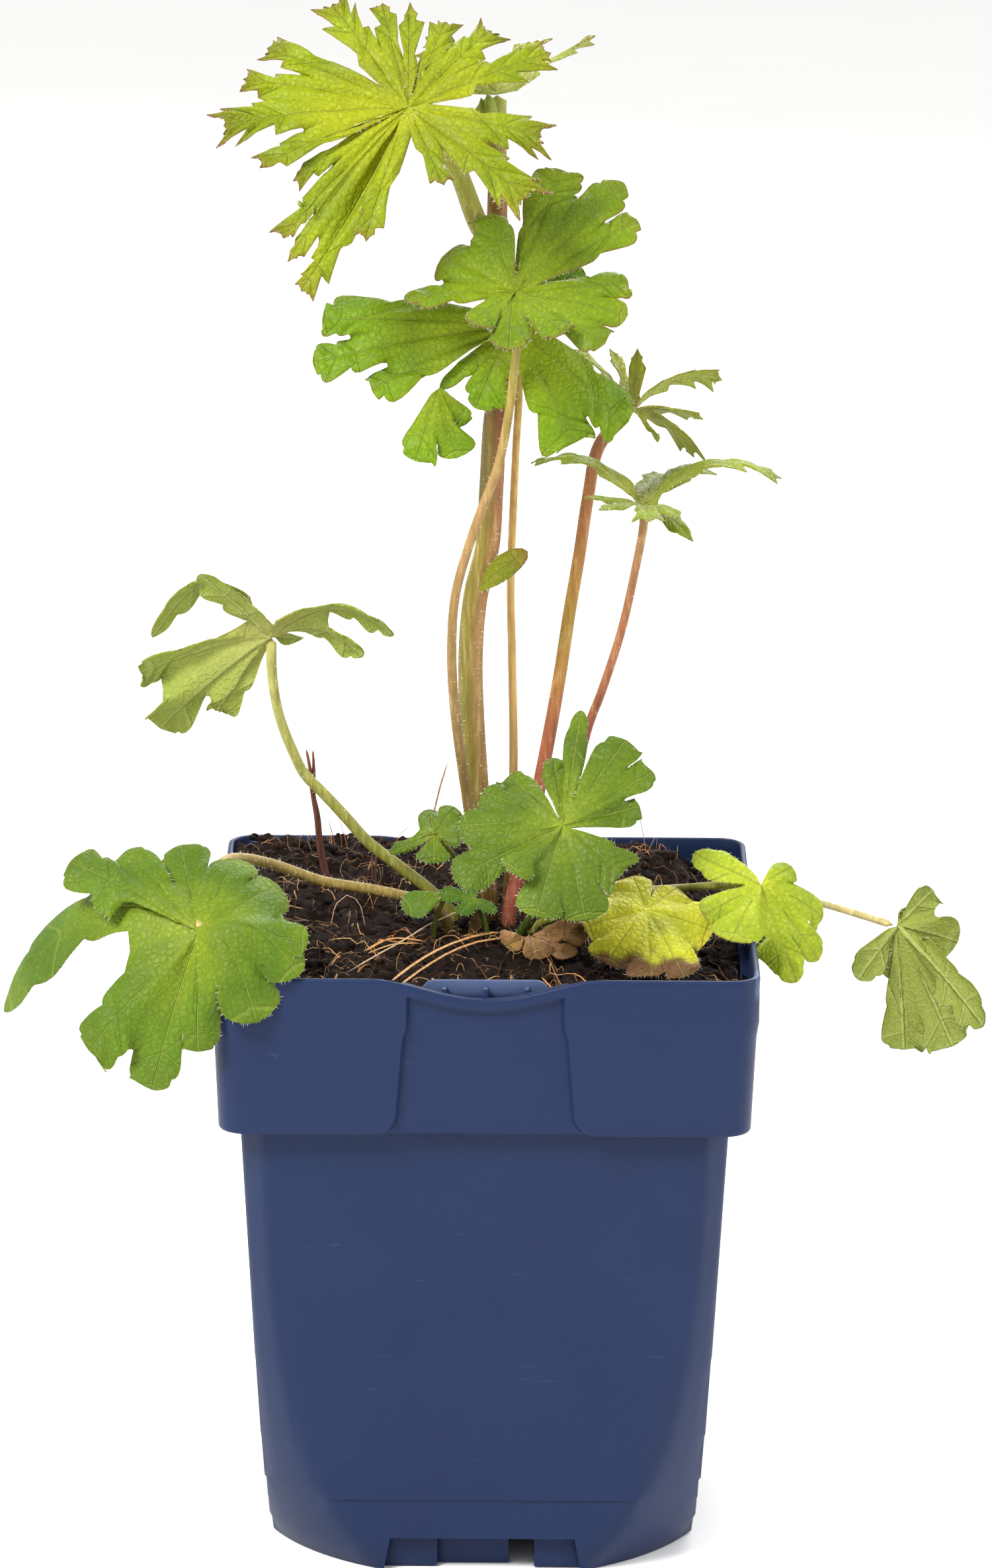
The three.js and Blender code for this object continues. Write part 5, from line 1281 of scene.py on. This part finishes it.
# The leaf at the left: a drooping hand seen from below on a long yellow-green stalk that curves
# up out of the peat. Its underside is grey-green felt, its folded edge bright green.
leaf_left_middle = {
    'centre': (-48.6, -4, 204.3), 'face': (0, 0.62, 0.8), 'teeth': 3, 'depth': 0.3, 'curl': 1.2,
    'lobes': [
        (-12, 4, -18, 5, 1, 0, 0.9, 2), (-25, 4, -22, 7, 2, 0, 0.88, 2), (-29, 3, -9, 8.5, 3, 0, 0.3, 2),
        (-26, -2, 0, 4.5, 3, 0, 0.4, 3, 22), (-15, -9, 16, 4.5, 2, 0, 0.3, 2),
        (28, -2, 1, 4, 2, 0, 0.6, 2, 11), (21, 2, -5, 4.5, 2, 0, 0.4, 2, 7), (7, 6, -2, 3, 1, 0, 0, 1)],
    'greens': [(0, 'b0a884'), (0.4, 'a0a868'), (0.8, '98aa4c', 0.1), (1.1, '90a03c', 0.4)],
    'stalk_radius': 1.3, 'foot': (-6, 10),
    'stalk': [
        (-8.4, 9.8, 137.2), (-12.7, 9.5, 141.9), (-20.1, 9, 148), (-26.6, 8, 153.5), (-31.9, 7, 159.8),
        (-37, 6, 165.7), (-41.1, 5, 170.3), (-43.6, 4, 175.7), (-46.5, 2, 184.2), (-48, -1, 193.9),
        (-48.2, -3.6, 203.8)],
    'stalk_colours': [(0, '8a8a3c'), (0.4, 'a8ac5c'), (1, 'bfc27e')],
    'stalk_hair': 4,
}
place_leaf(leaf_left_middle, 'leaf_left_middle', 25)

# The large low leaf at the left: it hangs over the rim on a hairy tan stalk that lies along the
# peat. Mid green with yellow-green veins from the middle, rounded teeth and a grey drooping lobe.
leaf_left_low = {
    'centre': (-62.5, -55, 150.1), 'face': (-0.1, -1, 1), 'teeth': 3, 'depth': 0.26, 'curl': 1.4,
    'lobes': [
        (-10, -6, -34, 6.5, 3, 0, 0.8, 2), (0, -7, -25, 5, 3, 0, 0.62, 2),
        (13, -8, -18, 7, 4.5, 0, 0.85, 2, 13), (22, -6, -8, 6, 3, 0, 0.8, 2, 13),
        (24, -3, -1, 5, 3, 0, 0.7, 2), (17, 18, 6, 6.5, 3, 0, 0.75, 1), (8, 23, 11, 5.5, 3, 0, 0.75, 1),
        (-5, 26, 13, 6.5, 2, 0, 0.55, 1), (-17, 22, 13, 5, 3, 0, 0.8, 1), (-29, 18, 11, 6, 5, 0, 0.55, 2),
        (-45, 30, -27, 7.5, 4, 0, 0.5, 2, 26), (-24, -3, -26, 6.5, 4, 0, 0.78, 2)],
    'greens': [(0, '96aa3c'), (0.3, '7a9428', 0.1), (0.7, '66881e', 0.1), (1.1, '708c28', 0.3)],
    'stalk_radius': 1.25, 'foot': (-8, 5),
    'stalk': [
        (-9, 4.4, 136.2), (-12.5, 3.6, 140.2), (-20, 2.6, 142.8), (-26.4, 2.2, 144.2), (-36.9, 0, 146.6),
        (-48, -6, 152.2), (-57, -20, 157.2), (-61.4, -38, 156.2), (-62.5, -54.6, 150.2)],
    'stalk_colours': [(0, '7a6a3c'), (0.3, 'a8945c'), (1, 'c4b585')],
    'stalk_hair': 6,
}
place_leaf(leaf_left_low, 'leaf_left_low', 26)

# The dark leaf low in front of the stem: thick and deep green, paler where its veins meet, with
# rounded lobes and short white hairs all round.
leaf_front = {
    'centre': (16.9, -26, 166.9), 'face': (0, -1, 1), 'teeth': 2, 'depth': 0.26, 'curl': 1,
    'lobes': [
        (-6, -14, -17, 5.5, 2, 0, 0.8, 2), (5, -13, -18, 6, 2, 0, 0.8, 2), (13, -7, -9, 6, 2, 0, 0.12, 2),
        (17, 6, 3, 4.5, 1, 0, 0.8, 1), (20, 10, 10, 5, 1, 0, 0.8, 1), (14, 15, 16, 5.5, 1, 0, 0.4, 1),
        (4, 22, 21, 3, 1, 0, 0.72, 1), (-2.2, 17, 11, 3.4, 1, 0, 0.1, 1),
        (-12.2, 11.5, 8.6, 4.2, 1, 0, 0.85, 1), (-18, 7, 6, 5, 1, 0, 0.85, 1),
        (-23, 0, 0, 5, 2, 0, 0.85, 1), (-24, -9, -10, 5.5, 2, 0, 0.7, 2), (-12, -12, -7, 4.5, 2, 0, 0.75, 1)],
    'greens': [(0, '9cb04a'), (0.25, '7c9430'), (0.6, '68841e'), (1.1, '6e8a28')],
    'stalk_radius': 1.2, 'foot': (7, 0),
    'stalk': [
        (7.4, -2, 134.2), (9.6, -6, 139.2), (12.4, -10.5, 145.2), (15.3, -18, 156.2), (17.6, -25, 166.6)],
    'stalk_colours': [(0, '3c4a18'), (0.5, '4c6420'), (1, '7a9438')],
    'stalk_hair': 4, 'fringe': 1.5,
}
place_leaf(leaf_front, 'leaf_front', 27)

# The yellowing leaf beside it: an old round leaf, lime yellow with pale veins, whose lower margin
# has dried to brown paper.
leaf_yellowing = {
    'centre': (35.8, -13, 144.1), 'face': (0, -0.8, 1), 'teeth': 2, 'depth': 0.14, 'curl': 1,
    'lobes': [
        (-9, -13, -9, 6, 4.2, 0, 0.85, 1), (1, -18, -10, 6, 2, 0, 0.85, 1), (8, -19, -10, 5, 2, 0, 0.8, 1),
        (15, -6, -3, 7, 1, 0, 0.8, 2), (7, 8, 3, 6, 1, 0, 0, 1), (-3, 11, 5, 6, 1, 0, 0.8, 1),
        (-14, -4, -3, 6, 1, 0, 0.85, 1)],
    'greens': [(0, 'f6f66e'), (0.4, 'eeee5c'), (0.8, 'e4e450'), (1.1, 'e0d060')],
    'stalk_radius': 1, 'foot': (10, 3),
    'stalk': [(11, 2.6, 135.2), (15, 0, 138.2), (21.5, -3, 140.2), (30.3, -8, 142.5), (35.6, -11.6, 143.8)],
    'stalk_colours': [(0, '4a4a20'), (0.5, '8a8a3c'), (1, 'c0c050')],
    'stalk_hair': 3, 'quilt': 0.35, 'ruffle': 0.4, 'dried': (138.0, 136.2),
}
place_leaf(leaf_yellowing, 'leaf_yellowing', 28)

# The pale leaf over the right rim: thin, lime green, with small brown specks and a ragged tip
# that hangs outside the pot.
leaf_right_low = {
    'centre': (61.2, -14, 150.3), 'face': (-0.2, -0.8, 1), 'teeth': 2, 'depth': 0.25, 'curl': 1,
    'lobes': [
        (-7, -14, -9, 6, 2, 0, 0.85, 1), (8, -6, -21, 4.5, 4, 0, 0.6, 2), (13, -2, -17, 4, 4, 0, 0.75, 1),
        (14, 2, -8, 4, 4, 0, 0.8, 1), (7, 4, 3, 3.5, 1, 0, 0, 1), (-15, 8, 5, 4.5, 1, 0, 0.4, 1),
        (-13, -4, -6, 5, 1, 0, 0.8, 1)],
    'greens': [(0, 'ccd858'), (0.4, 'bed048'), (0.9, 'aec23e'), (1.1, 'b8ac52', 0.5)],
    'stalk_radius': 0.9, 'foot': (13, 6.5),
    'stalk': [
        (14.5, 6.8, 135.2), (20, 7.4, 138.2), (27.6, 8, 140.2), (44.3, 2, 145), (50.3, -5, 147.6),
        (61, -13.4, 150.2)],
    'stalk_colours': [(0, '6a6a34'), (0.5, 'a8a860'), (1, 'c4cc6a')],
    'stalk_hair': 3,
}
place_leaf(leaf_right_low, 'leaf_right_low', 29)

# The leaf far out at the right: it hangs from the end of a long pale stalk and turns its grey-green
# underside to the viewer, with bright green where the lobes fold over.
leaf_far_right = {
    'centre': (92.3, -4, 138.2), 'face': (0, 1, 0.3), 'teeth': 2, 'depth': 0.28, 'curl': 1.2,
    'lobes': [
        (2, 4, 2, 2.5, 0.5, 0, 0.4, 1), (8, 6, 7, 3.5, 1, 0, 0.7, 1), (14, 2, -4, 6, 2, 0, 0.5, 2),
        (19, -18, -18, 4.5, 3, 0, 0.6, 2), (13, -4, -27, 6, 3, 0, 0.8, 2), (2, 0, -29, 5, 3, 0, 0.35, 2),
        (-1, 2, -13, 3.5, 1, 0, 0.3, 1), (-9, -2, -12, 4.5, 1, 0, 0, 1)],
    'greens': [(0, 'a2a85c'), (0.4, '8a9240'), (0.8, '808c36'), (1.1, '76862c', 0.3)],
    'stalk_radius': 0.9, 'foot': (12, 12),
    'stalk': [
        (14, 12.4, 135.2), (25, 13, 139.8), (39.7, 11, 142.2), (59, 6, 144), (75, 2.4, 141.6),
        (84, 0, 139.6), (91.5, -3.6, 138.2)],
    'stalk_colours': [(0, '7a6a44'), (0.4, 'c4b48a'), (1, 'd6cca0')],
    'stalk_hair': 3,
}
place_leaf(leaf_far_right, 'leaf_far_right', 30)

# Three small leaves near the crown: a young one left of the stem, mid green with one drooping lobe;
# a seedling leaf on the peat, a plain dark green oval with a small notch; and a newly opened leaf,
# tiny, dark and toothed.
leaf_small = {
    'centre': (-12, 2, 157.2), 'face': (0, -1, 1), 'teeth': 1, 'depth': 0.2, 'curl': 0.6,
    'lobes': [
        (0, -6, -5, 4, 0.5, 0, 0.4), (7, -2, 1, 3.5, 0.5, 0, 0.5), (5, 6, 5, 3.4, 0.5, 0, 0.5),
        (-1, 8, 4, 3, 0.5, 0, 0.5), (-10, 2, -5, 1.8, 1, 0, 0.2)],
    'greens': [(0, '849838'), (0.5, '6c8828'), (1.1, '607e24')],
    'stalk_radius': 0.7, 'foot': (-2.5, 15.5),
    'stalk': [(-3, 15, 137.2), (-5.4, 12, 145.2), (-9, 6, 153.2), (-11.8, 2.2, 157)],
    'stalk_colours': [(0, '5a5a2a'), (1, '8a9a40')],
    'stalk_hair': 2, 'fringe': 1.6,
}
place_leaf(leaf_small, 'leaf_small', 31)
leaf_round = {
    'centre': (-8.8, -2.4, 144.6), 'face': (-0.2, -0.7, 1), 'teeth': 0, 'depth': 0.05, 'curl': 0.4,
    'lobes': [(-10.2, -2.4, -2.8, 4.2, 0.5, 0, 0)],
    'greens': [(0, '7e9a38'), (0.5, '64862a'), (1.1, '5e8028')],
    'stalk_radius': 0.6, 'foot': (-12, -2),
    'stalk': [(-11.6, -1.6, 137.2), (-9.2, -2.3, 144.3)],
    'stalk_colours': [(0, '5a5a2a'), (1, '7a8a38')],
    'stalk_hair': 1, 'ruffle': 0.2,
}
place_leaf(leaf_round, 'leaf_round', 32)
leaf_tiny = {
    'centre': (-3, -4, 143.8), 'face': (0, -0.6, 1), 'teeth': 1, 'depth': 0.2, 'curl': 0.3,
    'lobes': [
        (-3, -4, -2.5, 2.2, 0.3, 0, 0.5), (5.5, -1, -2.5, 1.8, 0.5, 0, 0.3), (-1, 4, 2, 2, 0.3, 0, 0.4),
        (-7.5, 0.5, 1.5, 2.5, 0.6, 0, 0.5)],
    'greens': [(0, '74963a'), (0.5, '567c28'), (1.1, '4c7222')],
    'stalk_radius': 0.6, 'foot': (0.5, -3.5),
    'stalk': [(0, -3.6, 137.2), (-2.9, -4, 143.6)],
    'stalk_colours': [(0, '4a4a22'), (1, '5a7a2c')],
    'stalk_hair': 1, 'ruffle': 0.5, 'quilt': 0.2,
}
place_leaf(leaf_tiny, 'leaf_tiny', 33)

# A dead leaf beside the crown: dry, tan brown and crumpled, with the peat showing through its
# folds.
dead_leaf = {
    'centre': (9.6, -7, 136.1), 'face': (0.1, -0.5, 1), 'teeth': 1, 'depth': 0.3, 'curl': -1.2,
    'lobes': [
        (3, -9, -2.4, 4, 1.4, 25, 0.6), (10, -7, -2, 4.5, -1.2, -30, 0.6), (13, -1, 0.6, 4, 1.5, 35, 0.5),
        (-5, -5, -1, 3, 0.8, -30, 0.5)],
    'stops': [(0, tone('d09880')), (0.5, tone('dca890')), (1.1, tone('a87860'))],
    'quilt': 1.2, 'ruffle': 2.2, 'fringe': 0,
}
place_leaf(dead_leaf, 'dead_leaf', 34)

# The dry twig: last year's dead stalk at the back left, a thin dark reddish-brown rod that forks
# near its top. It stands in the peat.
def dry_stalk_colours():
    """Bark of dead stalks: long fibres, darker cracks and pale worn places."""
    bark = Finish('dry_bark', Roughness=0.8)
    fibres = bark.noise(0.6, 4, (1, 1, 0.1), 0.65)
    colour = bark.blend(bark.ease(fibres, 0.3, 0.6, 0.7, 0.0), bark.own('tint'), paint('24120b'))
    colour = bark.blend(bark.ease(fibres, 0.6, 0.75, 0.0, 0.35), colour, paint('b08a66'))
    dull = fibres * 0.3 + 0.6
    return bark.coat(Base_Color=colour, Roughness=dull, Normal=bark.relief(fibres, 0.15))


TWIG_SKINS = [dry_stalk_colours()]
twig_path = [
    (-36.2, 30, 125.2), (-36.2, 30, 131.2), (-36.4, 30, 137.2), (-38, 29, 146.4), (-38.7, 28, 154.1),
    (-39.6, 27.4, 159.2), (-40, 27, 163.2)]
left_fork = [(-39.6, 27.4, 159.4), (-40.1, 26.9, 163.2), (-40.4, 26.6, 166.2), (-41.2, 26.2, 170.6)]
right_fork = [(-39.6, 27.2, 160.6), (-39.5, 27.2, 166.2), (-39.7, 27.4, 170.2)]
old_bark = [(0, paint('4a2a1c')), (1, paint('6e3a24'))]
young_bark = [(0, paint('5c3020')), (1, paint('8a5232'))]
twig = new_growth()
for path, radius, colours in (
        (twig_path, [(0, 0.95), (0.7, 0.75), (1, 0.5)], old_bark),
        (left_fork, [(0, 0.6), (1, 0.3)], young_bark),
        (right_fork, [(0, 0.55), (1, 0.25)], young_bark)):
    grow_stalk(twig, smooth_path(path, 1.0), radius, colours, sides=12, ridges=0.1, material=0)
piece_from(twig, 'forked_dry_twig', TWIG_SKINS, ['dry_twig'], sharp=60)

# Broken stubs of old stalks: bleached, cream-coloured and frayed at the top, standing in the peat
# behind the crown and at the back right.
bent_stub = [(-12, 40, 131), (-12, 40, 136), (-13.7, 40, 150.5), (-14.7, 40, 152.3)]
short_stub = [(27, 41, 131), (26.4, 41, 138), (25.6, 41, 144.5)]
bleached = [(0, paint('9a7c58')), (1, paint('d8c69e'))]
stubs = new_growth()
for path, radius in (
        (bent_stub, [(0, 0.75), (0.8, 0.6), (1, 0.2)]),
        (short_stub, [(0, 0.7), (1, 0.35)])):
    grow_stalk(stubs, smooth_path(path, 0.8), radius, bleached, ridges=0.16, material=0)
piece_from(stubs, 'broken_dry_stubs', TWIG_SKINS, [], sharp=60)

# The studio: a plain pale floor, one broad soft light from the upper left, weaker ones from the
# right and from behind, and the camera at the photograph's height and tilt. The camera's place is in
# millimetres, its tilt below the horizon and its roll are in degrees, its focal length is in pixels.
FLOOR_HALF = 3
CAMERA_PLACE = (2.0, -1609.0, 595.8)
CAMERA_TILT = 14.84
CAMERA_ROLL = 0.367
FOCAL_LENGTH = 11238
PHOTO_HEIGHT = 2371
SENSOR = 36

floor_sheet = bmesh.new()
bmesh.ops.create_grid(floor_sheet, x_segments=1, y_segments=1, size=FLOOR_HALF)
floor_mesh = bpy.data.meshes.new('pale_floor')
floor_sheet.to_mesh(floor_mesh)
floor_sheet.free()
pale = Finish('pale_floor', Roughness=0.9)
shade = pale.blend(pale.noise(90, 2), paint('f1f1ef'), paint('f4f4f3'))
floor_mesh.materials.append(pale.coat(Base_Color=shade))
studio_floor = bpy.data.objects.new('pale_floor', floor_mesh)
bpy.context.collection.objects.link(studio_floor)

for name, place, aim, size, power in (
        ('light_upper_left', (-0.75, -0.8, 1.25), (0, 0, 0.16), 0.5, 33),
        ('light_right', (1.2, -0.2, 0.6), (0, 0, 0.15), 0.6, 9),
        ('light_behind', (0.3, 1.1, 1.0), (0, 0, 0.2), 0.9, 15)):
    lamp = bpy.data.lights.new(name, 'AREA')
    lamp.size, lamp.energy = size, power
    light = bpy.data.objects.new(name, lamp)
    light.location = place
    light.rotation_euler = (Vector(aim) - Vector(place)).to_track_quat('-Z', 'Y').to_euler()
    bpy.context.collection.objects.link(light)

world = bpy.data.worlds.new('pale_room')
world.use_nodes = True
world.node_tree.nodes['Background'].inputs['Color'].default_value = (1.0, 1.0, 1.0, 1)
world.node_tree.nodes['Background'].inputs['Strength'].default_value = 0.95
bpy.context.scene.world = world

lens = bpy.data.cameras.new('camera')
lens.sensor_width = SENSOR
lens.lens = FOCAL_LENGTH / PHOTO_HEIGHT * SENSOR
lens.clip_start = 0.1
camera = bpy.data.objects.new('camera', lens)
tilt = Matrix.Rotation(math.radians(90 - CAMERA_TILT), 4, 'X')
roll = Matrix.Rotation(math.radians(CAMERA_ROLL), 4, 'Z')
camera.matrix_world = Matrix.Translation(Vector(CAMERA_PLACE) * MM) @ tilt @ roll
bpy.context.collection.objects.link(camera)
bpy.context.scene.camera = camera
bpy.context.scene.view_settings.view_transform = 'Standard'
